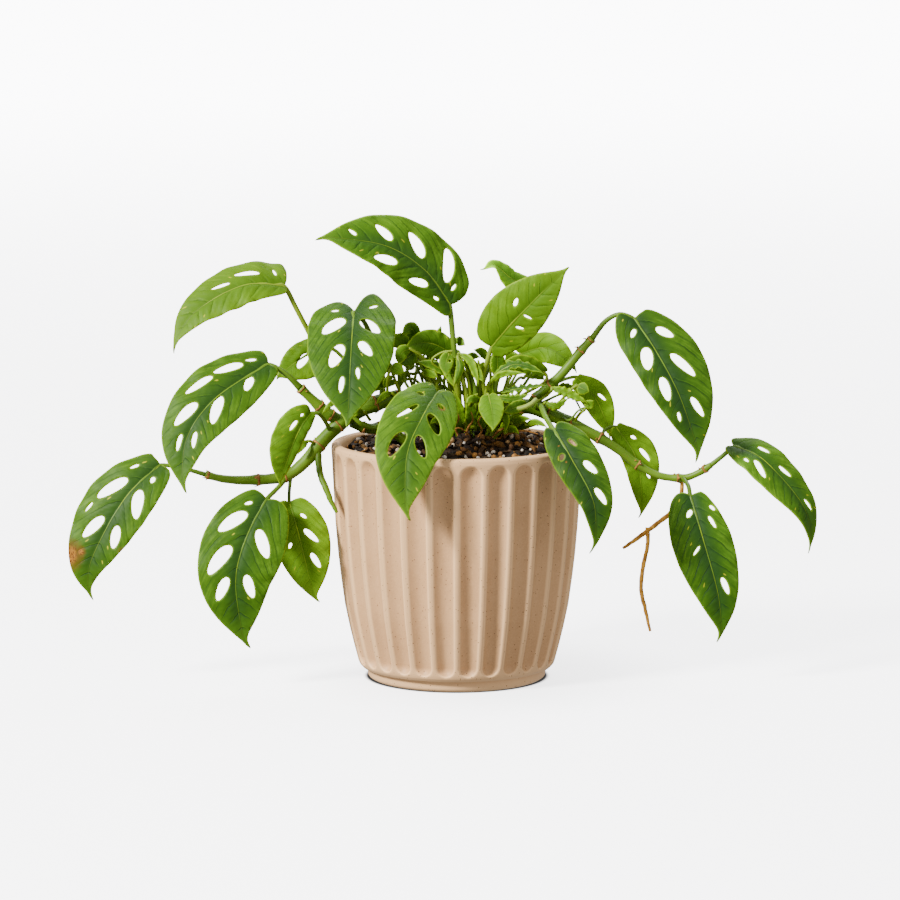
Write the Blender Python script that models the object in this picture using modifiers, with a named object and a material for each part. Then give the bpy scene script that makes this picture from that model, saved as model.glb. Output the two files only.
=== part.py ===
"""A monstera adansonii with trailing stems, rooted in a fluted stoneware pot.

Lengths in the tables are millimetres and become metres through MM.
The origin is the middle of the underside of the pot, +Z is up and the side
that faces the viewer looks along -Y.
"""
import math
import random

import bmesh
import bpy
from mathutils import Euler, Matrix, Vector
from mathutils.geometry import delaunay_2d_cdt

MM = 0.001
SEED = 14
GAP = 0.4
PLANT = "monstera_in_pot"
CUTTERS = "cutters"

# Pot
FOOT_HEIGHT = 7.4
FOOT_RADIUS = 57.0
FLOOR = 13.0
FLUTES = 28
FLUTE_DEPTH = 2.7
FLUTE_SHARE = 0.80
FLUTE_TOP = 147.6
FLUTE_BOTTOM = 10.2
FLUTE_COLUMNS = 4
INNER_SIDES = 36
POT_ROWS = (151.5, 150.5, 148.4, 146.2, 143.0, 138.5, 92.0, 55.0, 31.0, 16.0, 11.8, 9.2, 7.4)

# Soil
SOIL_LEVEL = 142.5
SOIL_LUMP = 1.6
SOIL_LUMPS = 22
SOIL_RINGS = (22.0, 43.0, 60.0)

# Plant
BLADE = 0.75
SMALLEST_HOLE = 8.5

# Half outline of a leaf: share of the length, share of the half width
HALF = (
    (0.000, 0.00),
    (-0.040, 0.14),
    (-0.055, 0.30),
    (-0.035, 0.48),
    (0.045, 0.70),
    (0.170, 0.90),
    (0.330, 1.00),
    (0.500, 0.96),
    (0.660, 0.79),
    (0.800, 0.53),
    (0.925, 0.19),
    (1.000, 0.00),
)

# Outer wall of the pot: height, radius
WALL_PROFILE = (
    (7.4, 60.6),
    (9.2, 62.3),
    (11.0, 63.1),
    (20.0, 65.6),
    (33.0, 68.7),
    (47.0, 71.6),
    (66.0, 74.2),
    (80.0, 75.8),
    (100.0, 77.5),
    (119.0, 78.5),
    (139.0, 79.5),
    (148.0, 80.0),
    (150.4, 79.5),
    (151.5, 77.6),
)

# Inner wall of the pot: height, radius
CAVITY_PROFILE = (
    (152.5, 75.6),
    (151.2, 74.6),
    (149.0, 73.2),
    (100.0, 70.2),
    (40.0, 62.6),
    (15.0, 50.0),
    (13.0, 42.0),
)


def clear():
    """Start from an empty file."""
    for item in list(bpy.data.objects):
        bpy.data.objects.remove(item, do_unlink=True)
    for block in list(bpy.data.meshes):
        bpy.data.meshes.remove(block)
    for name in (PLANT, CUTTERS):
        group = bpy.data.collections.new(name)
        bpy.context.scene.collection.children.link(group)


def material(name, colour, rough):
    """A plain surface of one colour."""
    mat = bpy.data.materials.new(name)
    mat.use_nodes = True
    shader = mat.node_tree.nodes["Principled BSDF"]
    shader.inputs["Base Color"].default_value = (*colour, 1.0)
    shader.inputs["Roughness"].default_value = rough
    mat.diffuse_color = (*colour, 1.0)
    return mat


def add(name, data, group):
    """Put an object in one of the two collections."""
    item = bpy.data.objects.new(name, data)
    bpy.data.collections[group].objects.link(item)
    if group == CUTTERS:
        item.hide_render = True
        item.display_type = "WIRE"
    return item


def bake(item):
    """Keep what the modifiers make, in triangles with shared corners."""
    graph = bpy.context.evaluated_depsgraph_get()
    mesh = bpy.data.meshes.new_from_object(item.evaluated_get(graph))
    item.modifiers.clear()
    item.data = mesh
    work = bmesh.new()
    work.from_mesh(mesh)
    bmesh.ops.triangulate(work, faces=work.faces)
    bmesh.ops.remove_doubles(work, verts=work.verts, dist=0.00002)
    bmesh.ops.dissolve_degenerate(work, edges=work.edges, dist=0.00001)
    bmesh.ops.triangulate(work, faces=work.faces)
    bmesh.ops.recalc_face_normals(work, faces=work.faces)
    work.to_mesh(mesh)
    work.free()
    return item


def flatten(item):
    """Merge faces that lie in one plane, then split them into triangles again."""
    work = bmesh.new()
    work.from_mesh(item.data)
    bmesh.ops.dissolve_limit(
        work,
        angle_limit=math.radians(0.3),
        verts=work.verts,
        edges=work.edges,
    )
    bmesh.ops.triangulate(work, faces=work.faces)
    work.to_mesh(item.data)
    work.free()
    return item


def combine(item, tools, operation):
    """Join to or cut from an object, one tool after another."""
    for tool in tools:
        step = item.modifiers.new("step", "BOOLEAN")
        step.operation = operation
        step.solver = "EXACT"
        step.object = tool
        bake(item)
        bpy.data.objects.remove(tool, do_unlink=True)
    return item


def smooth(points, steps):
    """Points on a soft line through the given points."""
    rows = [Vector(p) if len(p) == 3 else list(p) for p in points]
    rows = [list(r) for r in rows]
    out = []
    last = len(rows) - 1
    for i in range(last):
        a = rows[max(i - 1, 0)]
        b = rows[i]
        c = rows[i + 1]
        d = rows[min(i + 2, last)]
        for k in range(steps):
            t = k / steps
            out.append(
                [
                    0.5
                    * (
                        2 * q
                        + (r - p) * t
                        + (2 * p - 5 * q + 4 * r - s) * t * t
                        + (3 * q - p - 3 * r + s) * t * t * t
                    )
                    for p, q, r, s in zip(a, b, c, d)
                ]
            )
    out.append(rows[last])
    return out


def tube(name, nodes, group, sides=8, steps=2, grow=0.0):
    """A round stem through nodes of x, y, z and radius; grow widens it all over."""
    rows = smooth(nodes, steps)
    path = [Vector(row[:3]) for row in rows]
    if grow:
        path[0] = path[0] - (path[1] - path[0]).normalized() * grow
        path[-1] = path[-1] + (path[-1] - path[-2]).normalized() * grow
    curve = bpy.data.curves.new(name, "CURVE")
    curve.dimensions = "3D"
    curve.bevel_depth = MM
    curve.bevel_resolution = (sides - 4) // 2
    curve.use_fill_caps = True
    line = curve.splines.new("POLY")
    line.points.add(len(path) - 1)
    for point, place, row in zip(line.points, path, rows):
        point.co = (*(place * MM), 1.0)
        point.radius = row[3] + grow
    guide = add(name + ".line", curve, CUTTERS)
    graph = bpy.context.evaluated_depsgraph_get()
    mesh = bpy.data.meshes.new_from_object(guide.evaluated_get(graph))
    item = add(name, mesh, group)
    item.matrix_world = guide.matrix_world
    bpy.data.objects.remove(guide, do_unlink=True)
    return bake(item)


class Rib:
    """The middle line of a leaf with the directions across it and out of it."""

    def __init__(self, line, face):
        rows = [Vector(r) for r in smooth(line, 12)]
        self.points = rows
        self.face = [Vector(f).normalized() for f in face]
        self.lengths = [0.0]
        for a, b in zip(rows, rows[1:]):
            self.lengths.append(self.lengths[-1] + (b - a).length)
        self.length = self.lengths[-1]

    def at(self, along):
        """Place, direction, sideways and outward at a distance from the base."""
        rows = self.points
        if along <= 0:
            direction = (rows[1] - rows[0]).normalized()
            place = rows[0] + direction * along
            share = 0.0
        else:
            i = 0
            while i < len(rows) - 2 and self.lengths[i + 1] < along:
                i += 1
            span = self.lengths[i + 1] - self.lengths[i]
            t = (along - self.lengths[i]) / span
            place = rows[i].lerp(rows[i + 1], t)
            before = rows[i + 1] - rows[max(i - 1, 0)]
            after = rows[min(i + 2, len(rows) - 1)] - rows[i]
            direction = before.normalized().lerp(after.normalized(), t).normalized()
            share = min(along / self.length, 1.0)
        face = self.face[0].lerp(self.face[-1], share)
        across = direction.cross(face).normalized()
        out = across.cross(direction).normalized()
        return place, direction, across, out


def leaf_height(leaf, along, across):
    """How far a point of the blade stands out of the flat leaf."""
    half = leaf["wide"][0] if across > 0 else leaf["wide"][1]
    share = abs(across) / half
    rise = leaf.get("rise", 0.12)
    sag = leaf.get("sag", 0.20)
    wave = leaf.get("wave", 0.9)
    pace = 2 * math.pi / (0.17 * leaf["length"])
    phase = 0.9 if across > 0 else 2.3
    lift = rise * abs(across) - sag * half * share * share
    lift += wave * share * share * math.sin(along * pace + phase)
    return lift


def leaf_point(leaf, rib, along, across):
    """A point of the blade in space."""
    place, direction, side, out = rib.at(along)
    return place + side * across + out * leaf_height(leaf, along, across)


def ellipse(centre, long, short, tilt, count):
    """Corners of an ellipse on the flat leaf."""
    rows = []
    for k in range(count):
        angle = 2 * math.pi * k / count
        x = 0.5 * long * math.cos(angle)
        y = 0.5 * short * math.sin(angle)
        rows.append(
            (
                centre[0] + x * math.cos(tilt) - y * math.sin(tilt),
                centre[1] + x * math.sin(tilt) + y * math.cos(tilt),
            )
        )
    return rows


def inside(point, polygon):
    """Whether a flat point lies inside a polygon."""
    hit = False
    x, y = point
    for i, (x1, y1) in enumerate(polygon):
        x2, y2 = polygon[i - 1]
        if (y1 > y) != (y2 > y) and x < (x2 - x1) * (y - y1) / (y2 - y1) + x1:
            hit = not hit
    return hit


def nearest(point, rows):
    """Distance from a flat point to the closest of some points."""
    return min(math.hypot(point[0] - r[0], point[1] - r[1]) for r in rows)


def half_outline(leaf, side):
    """One edge of a leaf: lobes behind the stalk, fuller base, belly nearer the tip."""
    lobe = leaf.get("lobes", (1.0, 1.0))[side]
    base = leaf.get("base", (1.0, 1.0))[side]
    belly = leaf.get("belly", (1.0, 1.0))[side]
    rows = []
    for s, u in HALF:
        if s < 0.1:
            u = min(u * base, 0.97)
        elif s < 0.2:
            u = min(u * (1 + 0.4 * (base - 1)), 1.0)
        rows.append((s * lobe if s < 0 else s ** belly, u))
    return rows


def blade(name, leaf, group):
    """A leaf blade with its holes as one closed skin of even thickness."""
    rib = Rib(leaf["rib"], leaf["face"])
    leaf["length"] = rib.length
    length = rib.length
    wide_a, wide_b = leaf["wide"]
    one = [(s * length, u * wide_a) for s, u in half_outline(leaf, 0)]
    two = [(s * length, -u * wide_b) for s, u in half_outline(leaf, 1)]
    if leaf.get("small"):
        one = one[::2] + one[-1:]
        two = two[::2] + two[-1:]
    outline = one + two[-2:0:-1]
    loops = [outline]
    for along, across, long, short, tilt in leaf.get("holes", ()):
        if long < SMALLEST_HOLE:
            continue
        count = 8 if long > 13 else 6
        loops.append(ellipse((along, across), long, short, math.radians(tilt), count))
    border = [p for loop in loops for p in loop]
    points = [Vector(p) for p in border]
    edges = []
    start = 0
    for loop in loops:
        size = len(loop)
        edges += [(start + i, start + (i + 1) % size) for i in range(size)]
        start += size
    clear_by = 2.2 if not leaf.get("small") else 1.0
    step = leaf.get("step", 10.0)
    count = max(int(length / step), 2)
    for i in range(1, count + 1):
        along = length * (i - 0.35) / count
        for share in (0.0, 0.52, -0.52) if i % 2 else (0.0,):
            half = wide_a if share > 0 else wide_b
            spot = (along, share * half)
            if not inside(spot, outline) or nearest(spot, border) < clear_by:
                continue
            if any(inside(spot, loop) for loop in loops[1:]):
                continue
            points.append(Vector(spot))
    result = delaunay_2d_cdt(points, edges, [], 0, 0.00001)
    flat, cells = result[0], result[2]
    keep = []
    for cell in cells:
        mid = (sum((flat[i] for i in cell), Vector((0.0, 0.0)))) / 3
        if not inside(mid, outline) or any(inside(mid, loop) for loop in loops[1:]):
            continue
        a, b, c = (flat[i] for i in cell)
        if abs((b - a).cross(c - a)) < 0.0001:
            continue
        keep.append(tuple(cell))
    used = sorted({i for cell in keep for i in cell})
    order = {old: new for new, old in enumerate(used)}
    keep = [tuple(order[i] for i in cell) for cell in keep]
    mesh = bpy.data.meshes.new(name)
    skin = [leaf_point(leaf, rib, flat[i].x, flat[i].y) * MM for i in used]
    mesh.from_pydata(skin, [], keep)
    item = add(name, mesh, group)
    shell = item.modifiers.new("skin", "SOLIDIFY")
    shell.thickness = leaf.get("skin", BLADE) * MM
    shell.offset = 0.0
    return bake(item)


def leaf_with_stalk(name, leaf, group):
    """The blade joined to its stalk, which runs on under the start of the rib."""
    item = blade(name, leaf, group)
    rib = Rib(leaf["rib"], leaf["face"])
    tip = leaf.get("into", 0.10 * rib.length)
    size = leaf["stalk"][-1][3]
    nodes = list(leaf["stalk"])
    for share, scale in ((0.0, 1.0), (1.0, 0.62)):
        place = leaf_point(leaf, rib, tip * share, 0.0)
        nodes.append((*place, max(size * scale, 0.55)))
    stalk = tube(name + ".stalk", nodes, CUTTERS, leaf.get("sides", 6), leaf.get("steps", 2 if len(nodes) > 4 else 1))
    return combine(item, [stalk], "UNION")


def wall_radius(height):
    """Radius of the plain outer wall at a height."""
    rows = WALL_PROFILE
    for (z1, r1), (z2, r2) in zip(rows, rows[1:]):
        if height <= z2:
            return r1 + (r2 - r1) * (height - z1) / (z2 - z1)
    return rows[-1][1]


def flute(angle, height):
    """Depth of the scooped flute at a direction and height."""
    pitch = 2 * math.pi / FLUTES
    radius = wall_radius(height)
    offset = (angle / pitch) % 1.0 - 0.5
    half = 0.5 * FLUTE_SHARE * pitch * radius
    across = offset * pitch * radius
    along = 0.0
    if height > FLUTE_TOP - half:
        along = height - (FLUTE_TOP - half)
    if height < FLUTE_BOTTOM + half:
        along = FLUTE_BOTTOM + half - height
    reach = math.hypot(across, along) / half
    if reach >= 1:
        return 0.0
    return FLUTE_DEPTH * (1 - reach ** 2.2)


def turned(name, rows, steps, group):
    """A solid of revolution from rows of height and radius, top to bottom."""
    rows = [(rows[0][0], 0.0), *rows, (rows[-1][0], 0.0)]
    mesh = bpy.data.meshes.new(name)
    points = [(radius * MM, 0.0, height * MM) for height, radius in rows]
    mesh.from_pydata(points, [(i, i + 1) for i in range(len(rows) - 1)], [])
    item = add(name, mesh, group)
    turn = item.modifiers.new("turn", "SCREW")
    turn.axis = "Z"
    turn.angle = 2 * math.pi
    turn.steps = steps
    turn.render_steps = steps
    turn.use_merge_vertices = True
    turn.merge_threshold = 0.00002
    return bake(item)


def pot():
    """Fluted wall on a plain foot, hollowed from above."""
    rows = [(height, wall_radius(height)) for height in POT_ROWS]
    body = turned("pot", rows, FLUTES * FLUTE_COLUMNS, PLANT)
    for corner in body.data.vertices:
        x, y, z = (c / MM for c in corner.co)
        radius = math.hypot(x, y)
        if radius > 50.0:
            scoop = flute(math.atan2(x, -y), z)
            share = (radius - scoop) / radius
            corner.co.x *= share
            corner.co.y *= share
    foot = (
        (FOOT_HEIGHT + 1.5, FOOT_RADIUS),
        (2.8, FOOT_RADIUS),
        (0.9, FOOT_RADIUS - 0.7),
        (0.0, FOOT_RADIUS - 2.2),
    )
    combine(body, [turned("foot", foot, INNER_SIDES, CUTTERS)], "UNION")
    combine(body, [turned("cavity", CAVITY_PROFILE, INNER_SIDES, CUTTERS)], "DIFFERENCE")
    return flatten(body)


def soil_height(x, y):
    """Level of the rough soil surface."""
    lift = math.sin(x * 0.19 + 1.1) * math.cos(y * 0.17 + 0.4)
    lift += 0.6 * math.sin(x * 0.43 - y * 0.31 + 2.0)
    return SOIL_LEVEL + 0.5 * SOIL_LUMP * lift


def soil():
    """Earth that fills the pot, with bark, stones and white grains on top."""
    rule = random.Random(SEED)
    rim = 72.6 - GAP
    rows = [(SOIL_LEVEL, reach) for reach in SOIL_RINGS]
    rows.append((SOIL_LEVEL - 1.5, rim))
    rows += [(z, r - GAP) for z, r in CAVITY_PROFILE if 20 < z < SOIL_LEVEL - 2]
    rows += [(z + GAP, r - GAP) for z, r in CAVITY_PROFILE if z < 20]
    item = turned("soil", rows, INNER_SIDES, PLANT)
    for corner in item.data.vertices:
        x, y, z = (c / MM for c in corner.co)
        if z > SOIL_LEVEL - 1:
            corner.co.z = (soil_height(x, y) + rule.uniform(-0.6, 0.6)) * MM
    lumps = []
    spots = []
    tries = 0
    while len(lumps) < SOIL_LUMPS and tries < 3000:
        tries += 1
        reach = 64.0 * math.sqrt(rule.random())
        angle = rule.uniform(0, 2 * math.pi)
        spot = (reach * math.cos(angle), reach * math.sin(angle))
        if math.hypot((spot[0] - CORE_X) / 36, (spot[1] - CORE_Y) / 22) < 1:
            continue
        if spots and nearest(spot, spots) < 8.5:
            continue
        spots.append(spot)
        lumps.append(lump(rule, spot, len(lumps) % 2))
    combine(item, lumps, "UNION")
    return flatten(item)


def lump(rule, spot, chip):
    """A grain or a flat chip of bark half sunk in the soil."""
    work = bmesh.new()
    if chip:
        size = (rule.uniform(6, 10), rule.uniform(4, 6), rule.uniform(3.4, 4.6))
        bmesh.ops.create_cube(work, size=MM)
    else:
        big = rule.uniform(3.6, 5.6)
        size = (big, big * rule.uniform(0.8, 1.0), big * 0.9)
        bmesh.ops.create_icosphere(work, subdivisions=1, radius=0.5 * MM)
    tip = Euler((0.0, rule.uniform(-0.35, 0.35), rule.uniform(0, math.pi)))
    place = Vector((spot[0], spot[1], soil_height(*spot) + 0.6)) * MM
    bmesh.ops.transform(work, matrix=Matrix.LocRotScale(place, tip, size), verts=work.verts)
    mesh = bpy.data.meshes.new("lump")
    work.to_mesh(mesh)
    work.free()
    return add("lump", mesh, CUTTERS)


# Crown: the short rootstock all stems leave from
CORE_X = 6.0
CORE_Y = 4.0
CORE_SIZE = (24.0, 11.0)
CORE_BOTTOM = 120.0
CORE_TOP = 151.0


def core(name, group, grow=0.0):
    """Low oval rootstock."""
    long, short = (size + grow for size in CORE_SIZE)
    rows = (
        (CORE_TOP + grow, 0.25),
        (CORE_TOP - 1 + grow, 0.55),
        (CORE_TOP - 4 + grow, 0.86),
        (SOIL_LEVEL + 1, 1.00),
        (CORE_BOTTOM + 12, 0.92),
        (CORE_BOTTOM - grow, 0.70),
    )
    item = turned(name, [(height, share * long) for height, share in rows], 14, group)
    for corner in item.data.vertices:
        corner.co.x += CORE_X * MM
        corner.co.y = corner.co.y * short / long + CORE_Y * MM
    return item


VINE_LEFT = (
    (-12, 5, 146, 3.8),
    (-18, 4, 166, 4.5),
    (-27, 2, 176, 4.8),
    (-40, 0, 179, 4.9),
    (-55, -4, 175, 4.8),
    (-71, -9, 167, 4.6),
    (-85, -13, 154, 4.3),
    (-96, -16, 141, 3.9),
    (-109, -19, 132, 3.3),
    (-130, -22, 130, 2.6),
    (-147, -24, 131, 2.1),
    (-159, -25, 134, 1.7),
)
BRANCH_LEFT = (
    (-72, -9, 166, 3.4),
    (-80, -12, 170, 3.6),
    (-88, -14, 177, 3.3),
    (-99, -16, 188, 2.7),
)
VINE_RIGHT = (
    (25, 2, 147, 4.3),
    (30, 3, 163, 4.7),
    (38, 5, 172, 4.9),
    (47, 6, 173, 4.8),
    (56, 4, 170, 4.5),
    (66, 2, 166, 4.2),
    (77, 1, 161, 3.8),
    (92, 2, 153, 3.2),
    (104, 4, 145, 2.9),
    (117, 4, 135, 2.5),
    (130, 2, 129, 2.3),
    (144, 0, 128, 2.3),
    (153, -2, 131, 2.1),
    (162, -4, 137, 1.9),
)
STEM_RIGHT = (
    (45, 6, 172, 3.2),
    (52, 4, 180, 3.3),
    (66, 0, 194, 3.0),
    (79, -1, 210, 2.6),
    (86, -2, 218, 2.2),
)

VIEW = (0.0, -1.0, 0.0)

LEAVES = {
    "leaf_far_left": {
        "parent": "vine_left",
        "stalk": ((-159, -25, 134, 1.6), (-172, -27, 138, 1.3)),
        "rib": ((-187, -28, 141), (-209, -38, 121), (-230, -42, 83), (-233, -38, 59)),
        "wide": (24, 19),
        "face": ((-0.25, -0.9, 0.35), (-0.2, -0.95, 0.1)),
        "holes": ((31, 11, 21, 7, 25), (57, 8, 18, 6.5, 20), (30, -9, 20, 7.5, -27), (56, -8, 15, 6, -16), (11, -5, 4.5, 3, -26), (13, 10, 6, 2, 20), (48, 17, 7, 1.8, 8)),
        "belly": (0.86, 1.08),
        "base": (0.85, 0.9),
        "lobes": (0.1, 0.2),
    },
    "leaf_left": {
        "parent": "vine_left",
        "stalk": ((-99, -16, 188, 2.4), (-109, -18, 198, 1.7)),
        "rib": ((-119, -20, 204), (-151, -38, 185), (-169, -50, 161), (-172, -58, 130)),
        "wide": (22.5, 19.5),
        "face": ((-0.2, -0.9, 0.35), (-0.2, -0.95, 0.1)),
        "holes": ((23, 11, 19, 5, 18), (43, 14, 18, 4.5, 13), (61, 8, 18, 6.5, 14), (48, -6, 21, 6.5, -23), (19, -5, 11, 5, -31), (74, -5, 12, 3, -10), (78, 4, 10, 2.6, 2), (8, 8, 7, 1.8, 29)),
        "belly": (0.95, 0.95),
        "base": (0.9, 0.9),
        "lobes": (0.4, 0.4),
    },
    "leaf_lime": {
        "parent": "vine_left",
        "stalk": ((-69, -8, 168, 1.9), (-76, 4, 182, 1.8), (-90, 8, 212, 1.6), (-102, 6, 236, 1.6)),
        "rib": ((-109, 3, 251), (-135, -2, 252), (-165, -9, 236), (-180, -16, 214)),
        "wide": (17, 14),
        "face": ((-0.1, -0.75, 0.65), (-0.35, -0.85, 0.4)),
        "holes": ((23, 8, 14, 3.2, 8), (40, 5.5, 12, 2.2, 11), (7, 9, 5, 1.6, 66)),
        "lobes": (0.3, 0.2),
        "base": (1.5, 0.8),
        "belly": (1.22, 1.0),
    },
    "leaf_heart": {
        "parent": "vine_left",
        "stalk": ((-48, -2, 177, 1.9), (-48, 12, 200, 1.7), (-58, 5, 226, 1.6)),
        "rib": ((-65, -6, 236), (-66, -26, 222), (-67, -44, 200), (-68, -58, 171)),
        "wide": (28, 27),
        "face": ((0.0, -0.9, 0.45), (0.0, -1.0, 0.1)),
        "lobes": (1.6, 3.6),
        "holes": ((16, 12, 19, 9, 42), (15, -11, 16, 8, -49), (40, 9, 18, 8, 20), (34, -9, 13, 6, -37), (2, 12, 5, 2, 80), (-4, -12, 6, 2.2, 60), (60, 5, 11, 3, 6), (52, -5, 8, 2.4, -6)),
        "base": (1.3, 1.4),
        "belly": (1.08, 1.12),
    },
    "leaf_top": {
        "parent": "crown",
        "stalk": ((6, 7, 148, 2.2), (2, 5, 161, 2.1), (1, 3, 187, 1.9), (-2, 2, 213, 1.8)),
        "rib": ((-4, 0, 239), (-20, -8, 262), (-46, -18, 279), (-86, -32, 286)),
        "wide": (25, 19),
        "face": ((0.2, -0.9, 0.35), (-0.1, -0.8, 0.6)),
        "holes": ((63, 8.5, 13, 5.5, 36), (42, 10, 17, 7, 36), (20, 13.5, 20, 7.5, 51), (59, -9, 19, 5.5, -8), (28, -9, 16, 5, -24), (83, 5, 6, 2.4, 34), (10, -6, 4.5, 2, -24), (8, 8, 5, 2, 75)),
        "lobes": (0.3, 0.8),
        "base": (1.1, 0.8),
        "belly": (1.03, 0.97),
    },
    "leaf_behind_heart": {
        "parent": "vine_left",
        "stalk": ((-60, -5, 173, 1.5), (-62, 10, 184, 1.4), (-68, 20, 196, 1.3), (-77, 19, 207, 1.2)),
        "rib": ((-86, 16, 211), (-100, 12, 203), (-115, 6, 192)),
        "wide": (10, 15),
        "face": ((-0.1, -0.9, 0.3), (-0.1, -0.9, 0.1)),
        "step": 8.0,
        "holes": ((16, -2, 12, 5, -20),),
    },
    "leaf_small_left": {
        "parent": "vine_left",
        "stalk": ((-80, -12, 159, 1.4), (-83, -21, 167, 1.3), (-87, -28, 173, 1.2)),
        "rib": ((-92, -31, 174), (-101, -38, 160), (-112, -35, 129)),
        "wide": (15, 6),
        "face": ((0.35, -0.9, 0.2), (0.35, -0.9, 0.1)),
        "step": 9.0,
        "holes": ((11, 7, 9, 2.4, 10), (3, 7, 5, 1.6, 15)),
        "belly": (0.95, 1.2),
    },
    "leaf_lower_left": {
        "parent": "vine_left",
        "stalk": ((-108, -19, 131, 1.7), (-113, -28, 126, 1.5)),
        "rib": ((-120, -36, 120), (-132, -46, 98), (-139, -52, 70), (-134, -48, 29)),
        "wide": (26, 26),
        "face": ((0.0, -0.95, 0.25), (0.0, -1.0, 0.05)),
        "holes": ((22, 12, 20, 7.5, 37), (45, 12, 20, 8, 32), (61, 8.5, 15, 6, 30), (28, -11, 20, 7.5, -36), (60, -8.5, 17, 6, -13), (8, 8.5, 5, 2, 46)),
        "base": (0.85, 1.0),
        "lobes": (0.4, 0.5),
        "belly": (1.0, 1.08),
    },
    "leaf_yellow_left": {
        "parent": "vine_left",
        "stalk": ((-105, -18, 133, 1.3), (-106, -21, 124, 1.1)),
        "rib": ((-106, -23, 116), (-100, -28, 96), (-90, -30, 54)),
        "wide": (16, 19),
        "face": ((0.1, -0.95, 0.2), (0.1, -1.0, 0.0)),
        "holes": ((24, -7.5, 12, 3.6, -35), (40, -6.5, 11, 3.6, -19), (11, -6, 4.5, 2, -40), (27, 7, 4, 2, 34)),
        "base": (0.9, 0.9),
        "lobes": (0.6, 0.3),
    },
    "leaf_front": {
        "parent": "crown",
        "stalk": ((3, -3, 148, 2.2), (0, -14, 163, 2.1), (-3, -30, 180, 1.9), (-7, -39, 188, 1.7)),
        "rib": ((-12, -45, 189), (-22, -70, 176), (-31, -88, 155), (-32, -99, 119)),
        "wide": (23, 22),
        "face": ((0.1, -0.8, 0.6), (0.0, -1.0, 0.15)),
        "holes": ((53, 8, 17, 7, 19), (51, -7, 17, 6, -28), (30, -8.5, 16.5, 6.5, -40), (29, 10, 18, 2.8, 27), (13, -7, 5, 3, -60), (9, 8.5, 4.5, 3, 75)),
    },
    "leaf_upper_right": {
        "parent": "crown",
        "stalk": ((14, -1, 148, 1.9), (15, -4, 166, 1.8), (15, -5, 188, 1.7), (19, -6, 203, 1.5)),
        "rib": ((22, -7, 213), (33, -15, 227), (47, -24, 243), (69, -26, 265)),
        "wide": (16, 20),
        "face": ((0.1, -1.0, 0.15), (0.1, -1.0, 0.1)),
        "holes": ((36, -7.5, 6, 2.6, -20), (34, 4.5, 6, 1.6, 70), (24, 5.5, 5.5, 1.8, 57)),
        "lobes": (1.0, 0.2),
        "belly": (1.0, 1.05),
    },
    "leaf_curled": {
        "parent": "crown",
        "stalk": ((8, 13, 145, 1.9), (14, 30, 178, 1.7), (30, 44, 214, 1.5), (43, 45, 238, 1.4)),
        "rib": ((46, 40, 248), (34, 29, 254.5), (19, 20, 260)),
        "wide": (9, 8),
        "face": ((0.2, -0.7, 0.7), (0.0, -0.6, 0.8)),
        "sag": 0.55,
        "step": 8.0,
    },
    "leaf_right": {
        "parent": "vine_right",
        "stalk": ((86, -2, 218, 2.0), (94, -5, 229, 1.7), (103, -8, 234, 1.5)),
        "rib": ((112, -14, 232), (127, -24, 210), (141, -32, 183), (153, -34, 147)),
        "wide": (18, 25),
        "face": ((0.1, -0.95, 0.25), (0.1, -1.0, 0.05)),
        "holes": ((27, 7.5, 15, 7.5, 23), (50, 6.5, 16, 6, 8), (18, -11, 12, 5, -33), (41, -10.5, 20, 5.5, -21), (68, -8, 14, 4, -14), (8, 6, 6, 3, 55), (70, 5, 6, 2, 6)),
        "lobes": (1.5, 0.2),
        "base": (1.25, 0.85),
        "belly": (1.12, 0.98),
    },
    "leaf_far_right": {
        "parent": "vine_right",
        "stalk": ((162, -4, 137, 1.7), (169, -6, 143, 1.5)),
        "rib": ((176, -8, 150), (195, -18, 142), (220, -24, 113), (225, -24, 87)),
        "wide": (15.5, 15),
        "face": ((0.5, -0.75, 0.45), (0.65, -0.75, 0.1)),
        "holes": ((25, 7.5, 14, 4, 20), (18, -6.5, 8, 2.6, -8), (37, -5, 10, 2.8, -6), (14, 8, 4.5, 2, 20), (70, -5, 9, 2.2, -8)),
        "base": (0.9, 0.9),
        "belly": (1.1, 1.2),
        "lobes": (0.7, 0.8),
    },
    "leaf_lower_right": {
        "parent": "vine_right",
        "stalk": ((144, 0, 128, 1.6), (147, -12, 125, 1.4)),
        "rib": ((148, -20, 120), (155, -32, 96), (165, -38, 60), (168, -34, 31)),
        "wide": (20, 18),
        "face": ((0.0, -0.95, 0.25), (0.1, -1.0, 0.0)),
        "holes": ((62, -5.5, 11, 3.4, -10), (21, -8.5, 9, 2.2, -15), (12, 4, 6, 3, 40), (12, -11, 4.5, 2.2, -30), (36, 6, 7, 1.4, 50)),
        "base": (1.0, 0.85),
        "lobes": (0.6, 0.1),
        "belly": (1.12, 1.0),
    },
    "leaf_front_right": {
        "parent": "vine_right",
        "stalk": ((50, 6, 172, 2.0), (53, -12, 176, 1.9), (56, -38, 172, 1.7)),
        "rib": ((61, -54, 166), (71, -68, 151), (85, -77, 124), (86, -77, 95)),
        "wide": (12, 17),
        "face": ((0.1, -0.95, 0.3), (0.1, -1.0, 0.0)),
        "holes": ((34, -7.5, 11, 4.4, -18), (52, -5.5, 11, 3.8, -18), (14, -5.5, 7, 2.2, -20), (20, 5, 4.5, 3, 40)),
        "belly": (1.24, 1.22),
    },
    "leaf_pale_right": {
        "parent": "vine_right",
        "stalk": ((92, 2, 153, 1.2), (95, 10, 158, 1.1)),
        "rib": ((102, 13, 159), (116, 14, 136), (119, 12, 102)),
        "wide": (9, 14),
        "face": ((0.1, -1.0, 0.2), (0.1, -1.0, 0.0)),
        "step": 9.0,
        "holes": ((24, -6, 9, 2.6, -20), (35, -5, 7, 2.2, -16), (12, -5, 4, 2, -30)),
        "lobes": (0.4, 0.3),
        "base": (1.0, 0.6),
    },
    "leaf_mid_right": {
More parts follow.
